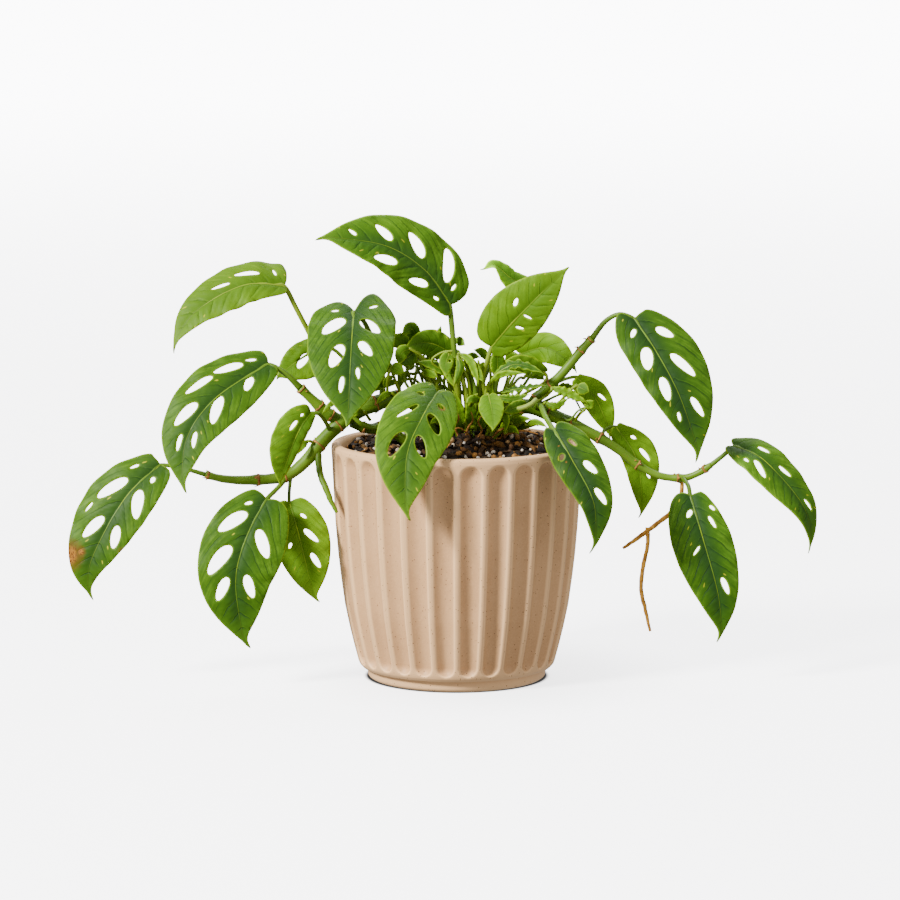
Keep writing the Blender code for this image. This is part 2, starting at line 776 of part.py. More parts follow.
        "parent": "vine_right",
        "stalk": ((57, 3, 185, 1.3), (62, 11, 187, 1.2), (70, 14, 190, 1.1)),
        "rib": ((77, 14, 191), (90, 17, 175), (99, 16, 152)),
        "wide": (9, 10),
        "face": ((0.1, -1.0, 0.2), (0.1, -1.0, 0.0)),
        "step": 8.0,
        "holes": ((20, -4, 6, 1.8, -20),),
        "lobes": (0.2, 0.2),
        "base": (1.0, 0.6),
    },
}

COLOURS = {
    "leaf": (0.045, 0.165, 0.030),
    "lime": (0.190, 0.400, 0.030),
    "stem": (0.110, 0.240, 0.040),
    "root": (0.190, 0.120, 0.060),
    "soil": (0.055, 0.032, 0.020),
    "pot": (0.560, 0.420, 0.300),
}
PALE = ("leaf_lime", "leaf_behind_heart", "leaf_yellow_left", "leaf_pale_right")
TRUNKS = {
    "vine_left": (VINE_LEFT, BRANCH_LEFT),
    "vine_right": (VINE_RIGHT, STEM_RIGHT),
}
SPRIGS = (
    # what it grows from, stalk, rib, half width
    ("crown", ((0, 9, 146), (-8, 14, 180), (-6, 14, 200)), ((-4, 13, 207), (-18, 8, 214), (-33, 0, 212)), 9),
    ("crown", ((-4, -3, 146), (-13, -7, 178), (-10, -7, 200)), ((-7, -9, 206), (-3, -13, 199), (0, -14, 187)), 6),
    ("crown", ((13, -3, 146), (17, -16, 172), (19, -20, 184)), ((20, -23, 184), (22, -34, 176), (23, -40, 164)), 8),
    ("crown", ((18, 9, 146), (24, 10, 176), (26, 9, 190)), ((26, 8, 195), (26, 6, 203), (25, 5, 210)), 5),
    ("crown", ((14, 10, 146), (26, 22, 172), (37, 30, 194)), ((41, 31, 204), (59, 27, 208), (77, 20, 195)), 10),
    ("crown", ((10, 11, 146), (34, 26, 172), (56, 26, 186)), ((56, 25, 193), (40, 20, 199), (25, 13, 195)), 6),
    ("vine_left", ((-30, 2, 177), (-26, 14, 194), (-25, 18, 207)), ((-26, 18, 215), (-31, 16, 222)), 5),
    ("vine_left", ((-37, 1, 178), (-36, 10, 191), (-36, 14, 203)), ((-34, 16, 211), (-41, 12, 219)), 5),
    ("crown", ((-2, 10, 146), (-18, 14, 188), (-23, 8, 202)), ((-27, 4, 208), (-37, -2, 201)), 6),
    ("crown", ((2, 12, 146), (-13, 22, 184), (-22, 20, 197)), ((-21, 19, 201), (-8, 15, 192)), 5),
    ("crown", ((9, -4, 146), (9, -9, 178), (7, -10, 195)), ((6, -10, 206), (17, -16, 192)), 4),
    ("vine_left", ((-44, -1, 178), (-44, -9, 190), (-43, -10, 197)), ((-41, -10, 201), (-33, -12, 197)), 4),
    ("vine_left", ((-34, 0, 179), (-38, -4, 188), (-40, -5, 194)), ((-42, -6, 199), (-50, -9, 203)), 4),
    ("vine_left", ((-24, 2, 175), (-29, 5, 189), (-31, 6, 195)), ((-32, 6, 198), (-28, 5, 203)), 4),
    ("crown", ((16, -4, 146), (30, -13, 170), (40, -16, 178)), ((43, -17, 178), (29, -27, 174)), 4),
    ("crown", ((12, 11, 146), (13, 15, 178), (14, 15, 188)), ((14, 15, 191), (17, 14, 201)), 4),
    ("vine_right", ((60, 3, 169), (69, -7, 182), (75, -9, 188)), ((77, -10, 188), (84, -13, 185)), 4),
    ("vine_right", ((74, 1, 163), (78, -6, 170), (81, -8, 173)), ((82, -9, 175), (87, -9, 179)), 3),
)
# Hanging roots: what they grow from, then nodes
ROOTS = {
    "root_right": (
        "vine_right",
        ((144, 1, 127, 1.1), (143, 5, 114, 1.1), (137, 4, 105, 1.2), (129, 1, 99, 1.2), (115, -2, 89, 1.1), (106, -3, 83, 0.8)),
        ((122, 0, 96, 1.2), (122, -2, 85, 1.1), (119, -3, 71, 1.1), (118, -3, 56, 1.1), (121, -2, 42, 1.0), (124, -2, 29, 0.7)),
    ),
    "root_left": (
        "vine_left",
        ((-88, -15, 149, 1.8), (-87, -20, 136, 1.7), (-81, -26, 121, 1.5), (-76, -28, 110, 0.8)),
    ),
}


def sprigs(item):
    """Join the small leaves that grow from a stem."""
    for parent, stalk, rib, half in SPRIGS:
        if parent != item.name:
            continue
        leaf = {
            "stalk": [(*p, 1.1) for p in stalk],
            "rib": rib,
            "wide": (half, half),
            "face": (VIEW, VIEW),
            "small": True,
            "sides": 4,
            "steps": 1,
            "wave": 0.4,
            "step": 9.0,
        }
        combine(item, [leaf_with_stalk("sprig", leaf, CUTTERS)], "UNION")
    return item


def trunk(name, parts, group, grow=0.0):
    """A main stem with its branch, joined or widened for a cut."""
    item = tube(name, parts[0], group, 8, 2, grow)
    for branch in parts[1:]:
        combine(item, [tube("branch", branch, CUTTERS, 8, 2, grow)], "UNION")
    return item


def finish(item, key, stand):
    """Give a piece its own surface, soft shading and its place on the plant."""
    rough = 0.75 if key in ("soil", "root") else 0.45
    item.data.materials.clear()
    item.data.materials.append(material(item.name + "_surface", COLOURS[key], rough))
    item.data.shade_smooth()
    item.data.set_sharp_from_angle(angle=math.radians(40))
    item.parent = stand


def build():
    """Make every piece of the plant and the pot."""
    clear()
    stand = add("planter", None, PLANT)
    finish(pot(), "pot", stand)
    earth = soil()
    combine(earth, [core("hole", CUTTERS, 0.6)], "DIFFERENCE")
    finish(earth, "soil", stand)
    finish(sprigs(core("crown", PLANT)), "stem", stand)
    for name, parts in TRUNKS.items():
        item = trunk(name, parts, PLANT)
        combine(item, [core("cut", CUTTERS, 0.6)], "DIFFERENCE")
        finish(sprigs(item), "stem", stand)
    for name, parts in ROOTS.items():
        item = tube(name, parts[1], PLANT, 6, 2)
        combine(item, [tube("fork", nodes, CUTTERS, 6, 2) for nodes in parts[2:]], "UNION")
        combine(item, [trunk("cut", TRUNKS[parts[0]], CUTTERS, GAP)], "DIFFERENCE")
        finish(item, "root" if name == "root_right" else "stem", stand)
    for name, leaf in LEAVES.items():
        item = leaf_with_stalk(name, leaf, PLANT)
        if leaf["parent"] == "crown":
            tool = core("cut", CUTTERS, 0.6)
        else:
            tool = trunk("cut", TRUNKS[leaf["parent"]], CUTTERS, GAP)
        combine(item, [tool], "DIFFERENCE")
        finish(item, "lime" if name in PALE else "leaf", stand)


build()
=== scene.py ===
"""Looks of the monstera adansonii in its fluted stoneware pot.

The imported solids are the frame. Every piece here is built from the same lengths,
which are millimetres in the tables and become metres through MM. X is to the right,
Y goes away from the viewer and Z is up.
"""
import math
import random

import bmesh
import bpy
import numpy as np
from mathutils import Euler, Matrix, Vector
from mathutils.geometry import delaunay_2d_cdt


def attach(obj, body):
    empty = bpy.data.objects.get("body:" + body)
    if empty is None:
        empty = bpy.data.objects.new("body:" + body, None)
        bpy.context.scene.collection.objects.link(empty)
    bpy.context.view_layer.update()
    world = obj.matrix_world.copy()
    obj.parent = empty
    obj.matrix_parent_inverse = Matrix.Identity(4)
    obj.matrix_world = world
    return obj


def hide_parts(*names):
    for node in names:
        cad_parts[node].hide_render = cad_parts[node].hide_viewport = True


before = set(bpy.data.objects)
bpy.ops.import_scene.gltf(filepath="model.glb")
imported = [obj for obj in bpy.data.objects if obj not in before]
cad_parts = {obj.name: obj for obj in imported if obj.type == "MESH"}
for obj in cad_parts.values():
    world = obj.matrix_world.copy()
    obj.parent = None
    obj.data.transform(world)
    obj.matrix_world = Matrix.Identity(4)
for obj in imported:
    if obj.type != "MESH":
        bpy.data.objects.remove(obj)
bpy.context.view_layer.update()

MM = 0.001
SEED = 14
BODY = "root"

# The camera: where it stands, what it looks at, focal length, sensor and picture width in pixels
EYE = (-4.3, -2800.0, 555.5)
AIM = (-4.3, 0.0, 146.0)
FOCAL = 177.6
SENSOR = 36.0
PICTURE = 900
# The studio in metres and watts: half the floor's width, the sky, and each light's place, aim,
# width, power and colour
FLOOR = 30
SKY = 0.54
LIGHTS = {
    "key": ((-2.0, -1.55, 1.75), (0, 0, 0.15), 0.60, 240.0, (1.0, 0.985, 0.955)),
    "fill": ((1.9, -1.9, 1.1), (0, 0, 0.15), 1.8, 19.0, (1.0, 1.0, 1.0)),
    "back": ((0.3, 1.3, 2.0), (0, 0, 0.2), 1.4, 40.0, (1.0, 1.0, 1.0)),
}

# Pot, soil and rootstock
FOOT_RADIUS = 57.0
FLUTES = 28
FLUTE_DEPTH = 2.7
FLUTE_SHARE = 0.85
FLUTE_TOP = 147.6
FLUTE_BOTTOM = 10.2
SOIL_LEVEL = 142.5
SOIL_LUMP = 1.6
# Rise of the fine soil over the coarse one, of the heap around the crown, and the soil's radius
BANK = 3.4
MOUND = 12.5
MOUND_MIDDLE = (14, -6)
MOUND_SPREAD = (34, 24)
BED_RADIUS = 72.2
CRUMB_RADIUS = 71.0
# How much deeper the fine flutes are than the coarse ones of the solid
SCOOP = 1.45
# Middle and half size of the rootstock, the number of stalk bases on it, and the levels at which
# stalks and shoots leave it
CORE_X = 6.0
CORE_Y = 4.0
CORE_SIZE = (24.0, 11.0)
CROWD = 30
STALK_FOOT = 147
SHOOT_FOOT = 146
# The way a small leaf faces
VIEW = (0.0, -1.0, 0.0)

# Half a leaf's outline: shares of the length and of the half width
HALF = (
    (0.000, 0.00), (-0.040, 0.14), (-0.055, 0.30), (-0.035, 0.48),
    (0.045, 0.70), (0.170, 0.90), (0.330, 1.00), (0.500, 0.96), (0.660, 0.79),
    (0.800, 0.53),
)
# The drip tip that ends it, and the tip's sideways hook in millimetres
TAIL = ((0.925, 0.185), (0.960, 0.100), (0.985, 0.058), (1.010, 0.038), (1.030, 0.0))
HOOK = 4.4
# How side veins run: lean towards the tip at the midrib, and how fast they bend further
VEIN_LEAN = 0.62
VEIN_BEND = 0.034
# What a leaf has where its row says nothing else: rise and sag of each half, depth of the
# margin's waves and of the quilting, gaps between veins as a share of the length, factors for
# each half's lobes, base and belly, and where the stalk runs on under the blade
PLAIN_LEAF = {
    "rise": 0.12,
    "sag": 0.20,
    "wave": 0.62,
    "puff": 0.55,
    "veins": 0.098,
    "lobes": (1.0, 1.0),
    "base": (1.0, 1.0),
    "belly": (1.0, 1.0),
    "holes": (),
    "under": (0.0, 0.08, 0.2, 0.4, 0.6, 0.78),
    "burns": (),
    "slot": "leaf",
    "yellow_stalk": False,
}
# What the scene's own small leaves have instead, and those among them with a full base
NARROW = {"lobes": (0.2, 0.2), "base": (0.6, 0.6)}
HEART = {"lobes": (1.0, 1.0), "base": (1.0, 1.0)}
# What a small leaf has besides, and the radius of its stalk
SMALL_LEAF = {
    "face": (VIEW, VIEW),
    "wave": 0.5,
    "puff": 0.25,
    "veins": 0.16,
    "under": (0.0, 0.3, 0.6),
}
SMALL_STALK = 1.0
# Thickness of large and small leaves
BLADE = 0.55
SMALL_BLADE = 0.5
# Size of the triangles of large and small leaves
GRAIN = 1.6
SMALL_GRAIN = 1.3

# The pot's plain outer wall: heights and radii
WALL_PROFILE = (
    (7.4, 60.6), (9.2, 62.3), (11.0, 63.1), (20.0, 65.6), (33.0, 68.7),
    (47.0, 71.6), (66.0, 74.2), (80.0, 75.8), (100.0, 77.5), (119.0, 78.5),
    (139.0, 79.5), (148.0, 80.0), (150.4, 79.5), (151.5, 77.6),
)

# Stems: places and radii
VINE_LEFT = (
    (-12, 5, 146, 3.8), (-18, 4, 166, 4.5), (-27, 2, 176, 4.8),
    (-40, 0, 179, 4.9), (-55, -4, 175, 4.8), (-71, -9, 167, 4.6),
    (-85, -13, 154, 4.3), (-96, -16, 141, 3.9), (-109, -19, 132, 3.5),
    (-130, -22, 130, 3.1), (-147, -24, 131, 2.5), (-159, -25, 134, 1.9),
)
BRANCH_LEFT = (
    (-72, -9, 166, 3.4), (-80, -12, 170, 3.6), (-88, -14, 177, 3.3),
    (-99, -16, 188, 2.7),
)
VINE_RIGHT = (
    (25, 2, 147, 4.3), (30, 3, 163, 4.7), (38, 5, 172, 4.9),
    (47, 6, 173, 4.8), (56, 4, 170, 4.5), (66, 2, 166, 4.2),
    (77, 1, 161, 3.8), (92, 2, 153, 3.2), (104, 4, 145, 2.9),
    (117, 4, 135, 2.5), (130, 2, 129, 2.3), (144, 0, 128, 2.3),
    (153, -2, 131, 2.1), (162, -4, 137, 1.9),
)
STEM_RIGHT = (
    (45, 6, 172, 3.2), (52, 4, 180, 3.3), (66, 0, 194, 3.0),
    (79, -1, 210, 2.6), (86, -2, 218, 2.2),
)

# Large leaves: stalk with radii, rib, half widths and the way the base and the tip face. Holes are
# distance along, distance across, length, width and tilt in degrees. A tint is how young the
# colours are and how bright, and burns are distance along, distance across, size and strength
# A tint's brightness is painted light and shade, set for the light each leaf gets
LEAVES = {
    "leaf_far_left": {
        "stalk": ((-159, -25, 134, 1.6), (-172, -27, 138, 1.3)),
        "rib": ((-187, -28, 141), (-209, -38, 121), (-230, -42, 83), (-233, -38, 59)),
        "wide": (24, 19), "face": ((-0.25, -0.9, 0.35), (-0.2, -0.95, 0.1)), "belly": (0.86, 1.08),
        "base": (0.85, 0.9), "lobes": (0.1, 0.2), "tint_and_light": (0.10, 0.88),
        "burns": ((78, 14, 6.5, 1.0), (74, 8, 2.4, 0.9), (62, -16, 2.2, 0.5)),
        "holes": (
            (31, 11, 21, 7, 25), (57, 8, 18, 6.5, 20), (30, -9, 20, 7.5, -27), (56, -8, 15, 6, -16),
            (11, -5, 4.5, 3, -26), (13, 10, 6, 2, 20), (48, 17, 7, 1.8, 8),
        ),
    },
    "leaf_left": {
        "stalk": ((-99, -16, 188, 2.4), (-109, -18, 198, 1.7)),
        "rib": ((-119, -20, 204), (-151, -38, 185), (-169, -50, 161), (-172, -58, 130)),
        "wide": (22.5, 19.5), "face": ((-0.2, -0.9, 0.35), (-0.2, -0.95, 0.1)),
        "belly": (0.95, 0.95), "base": (0.9, 0.9), "lobes": (0.4, 0.4), "tint_and_light": (0.08, 0.90),
        "holes": (
            (23, 11, 19, 5, 18), (43, 14, 18, 4.5, 13), (61, 8, 18, 6.5, 14),
            (48, -6, 21, 6.5, -23), (19, -5, 11, 5, -31), (74, -5, 12, 3, -10), (78, 4, 10, 2.6, 2),
            (8, 8, 7, 1.8, 29),
        ),
    },
    "leaf_lime": {
        "stalk": ((-69, -8, 168, 1.9), (-76, 4, 182, 1.8), (-90, 8, 212, 1.6), (-102, 6, 236, 1.6)),
        "rib": ((-109, 3, 251), (-135, -2, 252), (-165, -9, 236), (-180, -16, 214)),
        "wide": (17, 14), "face": ((-0.1, -0.75, 0.65), (-0.35, -0.85, 0.4)), "lobes": (0.3, 0.2),
        "base": (1.5, 0.8), "belly": (1.22, 1.0), "veins": 0.125, "tint_and_light": (0.88, 0.78),
        "slot": "young_leaf", "yellow_stalk": True,
        "holes": ((23, 8, 14, 3.2, 8), (40, 5.5, 12, 2.2, 11), (7, 9, 5, 1.6, 66)),
    },
    "leaf_heart": {
        "stalk": ((-48, -2, 177, 1.9), (-48, 12, 200, 1.7), (-58, 5, 226, 1.6)),
        "rib": ((-65, -6, 236), (-66, -26, 222), (-67, -44, 200), (-68, -58, 171)),
        "wide": (28, 27), "face": ((0.0, -0.9, 0.45), (0.0, -1.0, 0.1)), "lobes": (1.6, 3.6),
        "base": (1.3, 1.4), "belly": (1.08, 1.12), "hook": 0.6, "tint_and_light": (0.02, 0.88),
        "holes": (
            (16, 12, 19, 9, 42), (15, -11, 16, 8, -49), (40, 9, 18, 8, 20), (34, -9, 13, 6, -37),
            (2, 12, 5, 2, 80), (-4, -12, 6, 2.2, 60), (60, 5, 11, 3, 6), (52, -5, 8, 2.4, -6),
        ),
    },
    "leaf_top": {
        "stalk": ((6, 7, 148, 2.2), (2, 5, 161, 2.1), (1, 3, 187, 1.9), (-2, 2, 213, 1.8)),
        "rib": ((-4, 0, 239), (-20, -8, 262), (-46, -18, 279), (-86, -32, 286)),
        "wide": (25, 19), "face": ((0.2, -0.9, 0.35), (-0.1, -0.8, 0.6)), "lobes": (0.3, 0.8),
        "base": (1.1, 0.8), "belly": (1.03, 0.97), "tint_and_light": (0.12, 1.30),
        "holes": (
            (63, 8.5, 13, 5.5, 36), (42, 10, 17, 7, 36), (20, 13.5, 20, 7.5, 51),
            (59, -9, 19, 5.5, -8), (28, -9, 16, 5, -24), (83, 5, 6, 2.4, 34), (10, -6, 4.5, 2, -24),
            (8, 8, 5, 2, 75),
        ),
    },
    "leaf_behind_heart": {
        "stalk": ((-60, -5, 173, 1.5), (-62, 10, 184, 1.4), (-68, 20, 196, 1.3), (-77, 19, 207, 1.2)),
        "rib": ((-86, 16, 211), (-100, 12, 203), (-115, 6, 192)),
        "wide": (10, 15), "face": ((-0.1, -0.9, 0.3), (-0.1, -0.9, 0.1)), "tint_and_light": (0.75, 1.05),
        "slot": "young_leaf",
        "holes": ((16, -2, 12, 5, -20),),
    },
    "leaf_small_left": {
        "stalk": ((-80, -12, 159, 1.4), (-83, -21, 167, 1.3), (-87, -28, 173, 1.2)),
        "rib": ((-92, -31, 174), (-101, -38, 160), (-112, -35, 129)),
        "wide": (15, 6), "face": ((0.35, -0.9, 0.2), (0.35, -0.9, 0.1)), "belly": (0.95, 1.2),
        "tint_and_light": (0.55, 1.20),
        "holes": ((13, 5, 7, 2.2, 10), (5, 4, 2.6, 1.4, 15)),
    },
    "leaf_lower_left": {
        "stalk": ((-108, -19, 131, 1.7), (-113, -28, 126, 1.5)),
        "rib": ((-120, -36, 120), (-132, -46, 98), (-139, -52, 70), (-134, -48, 29)),
        "wide": (26, 26), "face": ((0.0, -0.95, 0.25), (0.0, -1.0, 0.05)), "base": (0.85, 1.0),
        "lobes": (0.4, 0.5), "belly": (1.0, 1.08), "tint_and_light": (0.06, 0.95),
        "holes": (
            (22, 12, 20, 7.5, 37), (45, 12, 20, 8, 32), (61, 8.5, 15, 6, 30),
            (28, -11, 20, 7.5, -36), (60, -8.5, 17, 6, -13), (8, 8.5, 5, 2, 46),
        ),
    },
    "leaf_yellow_left": {
        "stalk": ((-105, -18, 133, 1.3), (-106, -21, 124, 1.1)),
        "rib": ((-106, -23, 116), (-100, -28, 96), (-90, -30, 54)),
        "wide": (16, 19), "face": ((0.1, -0.95, 0.2), (0.1, -1.0, 0.0)), "base": (0.9, 0.9),
        "lobes": (0.6, 0.3), "tint_and_light": (0.80, 1.10), "slot": "young_leaf",
        "holes": (
            (24, -7.5, 12, 3.6, -35), (40, -6.5, 11, 3.6, -19), (11, -6, 4.5, 2, -40),
            (27, 7, 4, 2, 34),
        ),
    },
    "leaf_front": {
        "stalk": ((3, -3, 148, 2.2), (0, -14, 163, 2.1), (-3, -30, 180, 1.9), (-7, -39, 188, 1.7)),
        "rib": ((-12, -45, 189), (-22, -70, 176), (-31, -88, 155), (-32, -99, 119)),
        "wide": (23, 22), "face": ((0.1, -0.8, 0.6), (0.0, -1.0, 0.15)), "tint_and_light": (0.22, 1.0),
        "burns": ((14, -8, 1.9, 1.0),),
        "holes": (
            (53, 8, 17, 7, 19), (51, -7, 17, 6, -28), (30, -8.5, 16.5, 6.5, -40),
            (29, 10, 18, 2.8, 27), (13, -7, 5, 3, -60), (9, 8.5, 4.5, 3, 75),
        ),
    },
    "leaf_upper_right": {
        "stalk": ((14, -1, 148, 1.9), (15, -4, 166, 1.8), (15, -5, 188, 1.7), (19, -6, 203, 1.5)),
        "rib": ((22, -7, 213), (33, -15, 227), (47, -24, 243), (69, -26, 265)),
        "wide": (16, 20), "face": ((0.1, -1.0, 0.15), (0.1, -1.0, 0.1)), "lobes": (1.0, 0.2),
        "belly": (1.0, 1.05), "hook": 0.6, "veins": 0.135, "tint_and_light": (0.80, 1.0),
        "slot": "young_leaf", "yellow_stalk": True,
        "holes": ((36, -7.5, 6, 2.6, -20), (34, 4.5, 6, 1.6, 70), (24, 5.5, 5.5, 1.8, 57)),
    },
    "leaf_curled": {
        "stalk": ((8, 13, 145, 1.9), (14, 30, 178, 1.7), (30, 44, 214, 1.5), (43, 45, 238, 1.4)),
        "rib": ((46, 40, 248), (36, 31, 252), (24, 23, 262), (17, 19, 259)),
        "wide": (7, 8), "face": ((0.2, -0.9, 0.4), (0.0, -0.6, 0.8)), "rise": 0.5, "sag": 0.55,
        "wave": 0.3, "tint_and_light": (0.35, 3.20),
    },
    "leaf_right": {
        "stalk": ((86, -2, 218, 2.0), (94, -5, 229, 1.7), (103, -8, 234, 1.5)),
        "rib": ((112, -14, 232), (127, -24, 210), (141, -32, 183), (153, -34, 147)),
        "wide": (18, 25), "face": ((0.1, -0.95, 0.25), (0.1, -1.0, 0.05)), "lobes": (1.5, 0.2),
        "base": (1.25, 0.85), "belly": (1.12, 0.98), "tint_and_light": (-0.02, 0.88),
        "holes": (
            (27, 7.5, 15, 7.5, 23), (50, 6.5, 16, 6, 8), (18, -11, 12, 5, -33),
            (41, -10.5, 20, 5.5, -21), (68, -8, 14, 4, -14), (8, 6, 6, 3, 55), (70, 5, 6, 2, 6),
        ),
    },
    "leaf_far_right": {
        "stalk": ((162, -4, 137, 1.7), (169, -6, 143, 1.5)),
        "rib": ((176, -8, 150), (195, -18, 142), (220, -24, 113), (225, -24, 87)),
        "wide": (15.5, 15), "face": ((0.5, -0.75, 0.45), (0.65, -0.75, 0.1)), "base": (0.9, 0.9),
        "belly": (1.15, 1.15), "lobes": (0.7, 0.8), "wave": 0.2, "tint_and_light": (0.10, 1.25),
        "holes": (
            (25, 7.5, 14, 4, 20), (18, -6.5, 8, 2.6, -8), (37, -5, 10, 2.8, -6),
            (14, 8, 4.5, 2, 20), (62, -3.5, 8, 1.8, -8),
        ),
    },
    "leaf_lower_right": {
        "stalk": ((144, 0, 128, 1.6), (147, -12, 125, 1.4)),
        "rib": ((148, -20, 120), (155, -32, 96), (165, -38, 60), (168, -34, 31)),
        "wide": (20, 18), "face": ((0.0, -0.95, 0.25), (0.1, -1.0, 0.0)), "base": (1.0, 0.85),
        "lobes": (0.6, 0.1), "belly": (1.12, 1.0), "tint_and_light": (-0.02, 1.08),
        "holes": (
            (62, -5.5, 11, 3.4, -10), (21, -8.5, 9, 2.2, -15), (12, 4, 6, 3, 40),
            (12, -11, 4.5, 2.2, -30), (36, 6, 7, 1.4, 50),
        ),
    },
    "leaf_front_right": {
        "stalk": ((50, 6, 172, 2.0), (53, -12, 176, 1.9), (56, -38, 172, 1.7)),
        "rib": ((61, -54, 166), (71, -68, 151), (85, -77, 124), (86, -77, 95)),
        "wide": (12, 17), "face": ((0.1, -0.95, 0.3), (0.1, -1.0, 0.0)), "belly": (1.24, 1.22),
        "tint_and_light": (-0.02, 0.80), "burns": ((12, 3, 0.7, 0.5), (24, 4, 0.6, 0.7)),
        "holes": (
            (34, -7.5, 11, 4.4, -18), (52, -5.5, 11, 3.8, -18), (14, -5.5, 7, 2.2, -20),
            (20, 5, 4.5, 3, 40),
        ),
    },
    "leaf_pale_right": {
        "stalk": ((92, 2, 153, 1.2), (95, 10, 158, 1.1)),
        "rib": ((102, 13, 159), (116, 14, 136), (119, 12, 102)),
        "wide": (9, 14), "face": ((0.1, -1.0, 0.2), (0.1, -1.0, 0.0)), "lobes": (0.4, 0.3),
        "base": (1.0, 0.6), "tint_and_light": (0.85, 1.25), "slot": "young_leaf",
        "holes": ((24, -6, 9, 2.6, -20), (35, -5, 7, 2.2, -16), (12, -5, 4, 2, -30)),
    },
    "leaf_mid_right": {
        "stalk": ((57, 3, 185, 1.3), (62, 11, 187, 1.2), (70, 14, 190, 1.1)),
        "rib": ((77, 14, 191), (90, 17, 175), (99, 16, 152)),
        "wide": (9, 10), "face": ((0.1, -1.0, 0.2), (0.1, -1.0, 0.0)), "lobes": (0.2, 0.2),
        "base": (1.0, 0.6), "tint_and_light": (0.90, 1.50), "slot": "young_leaf",
        "holes": ((20, -4, 6, 1.8, -20),),
    },
}

# Small leaves that the solids have too, by what they grow from: stalk, rib, half width
CROWN_SPRIGS = (
    (((0, 9, 146), (-8, 14, 180), (-6, 14, 200)), ((-4, 13, 207), (-18, 8, 214), (-33, 0, 212)), 9),
    (((-4, -3, 146), (-13, -7, 178), (-10, -7, 200)), ((-7, -9, 206), (-3, -13, 199), (0, -14, 187)), 6),
    (((13, -3, 146), (17, -16, 172), (19, -20, 184)), ((20, -23, 184), (22, -34, 176), (23, -40, 164)), 8),
    (((18, 9, 146), (24, 10, 176), (26, 9, 190)), ((26, 8, 195), (26, 6, 203), (25, 5, 210)), 5),
    (((14, 10, 146), (26, 22, 172), (37, 30, 194)), ((41, 31, 204), (59, 27, 208), (77, 20, 195)), 10),
    (((10, 11, 146), (34, 26, 172), (56, 26, 186)), ((56, 25, 193), (40, 20, 199), (25, 13, 195)), 6),
    (((-2, 10, 146), (-18, 14, 188), (-23, 8, 202)), ((-27, 4, 208), (-37, -2, 201)), 6),
    (((2, 12, 146), (-13, 22, 184), (-22, 20, 197)), ((-21, 19, 201), (-8, 15, 192)), 5),
    (((9, -4, 146), (9, -9, 178), (7, -10, 195)), ((6, -10, 206), (17, -16, 192)), 4),
    (((16, -4, 146), (30, -13, 170), (40, -16, 178)), ((43, -17, 178), (29, -27, 174)), 4),
    (((12, 11, 146), (13, 15, 178), (14, 15, 188)), ((14, 15, 191), (17, 14, 201)), 4),
)
LEFT_SPRIGS = (
    (((-30, 2, 177), (-26, 14, 194), (-25, 18, 207)), ((-26, 18, 215), (-31, 16, 222)), 5),
    (((-37, 1, 178), (-36, 10, 191), (-36, 14, 203)), ((-34, 16, 211), (-41, 12, 219)), 5),
    (((-44, -1, 178), (-44, -9, 190), (-43, -10, 197)), ((-41, -10, 201), (-33, -12, 197)), 4),
    (((-34, 0, 179), (-38, -4, 188), (-40, -5, 194)), ((-42, -6, 199), (-50, -9, 203)), 4),
    (((-24, 2, 175), (-29, 5, 189), (-31, 6, 195)), ((-32, 6, 198), (-28, 5, 203)), 4),
)
RIGHT_SPRIGS = (
    (((60, 3, 169), (69, -7, 182), (75, -9, 188)), ((77, -10, 188), (84, -13, 185)), 4),
    (((74, 1, 163), (78, -6, 170), (81, -8, 173)), ((82, -9, 175), (87, -9, 179)), 3),
)
SPRIGS = {"crown": CROWN_SPRIGS, "vine_left": LEFT_SPRIGS, "vine_right": RIGHT_SPRIGS}

STUB_LEFT = ((-67, -6, 164, 2.6), (-56, -1, 160, 3.3), (-44, 4, 159, 3.2), (-30, 7, 148, 3.0))
# Main stems: their parts and the x of the rings on each part
VINES = {
    "vine_left": (
        (VINE_LEFT, BRANCH_LEFT, STUB_LEFT),
        ((-24, -38, -52, -75, -87, -108.5, -125, -157), (-80, -87, -98), (-60, -50, -40)),
    ),
    "vine_right": (
        (VINE_RIGHT, STEM_RIGHT),
        ((29, 39, 58.5, 72, 90, 116, 141, 158), (51, 60, 79, 85)),
    ),
}
# Hanging roots: slot, which is the surface too, and the places and radii of each part
ROOTS = {
    "root_right": (
        "root",
        (
            ((144, 1, 127, 1.1), (143, 5, 114, 1.1), (137, 4, 105, 1.2), (129, 1, 99, 1.2),
             (115, -2, 89, 1.1), (106, -3, 83, 0.8)),
            ((122, 0, 96, 1.2), (122, -2, 85, 1.1), (119, -3, 71, 1.1), (118, -3, 56, 1.1),
             (121, -2, 42, 1.0), (124, -2, 29, 0.7)),
        ),
    ),
    "root_left": (
        "stem",
        (((-88, -15, 149, 1.8), (-87, -20, 136, 1.7), (-81, -26, 121, 1.5), (-76, -28, 110, 0.8)),),
    ),
}
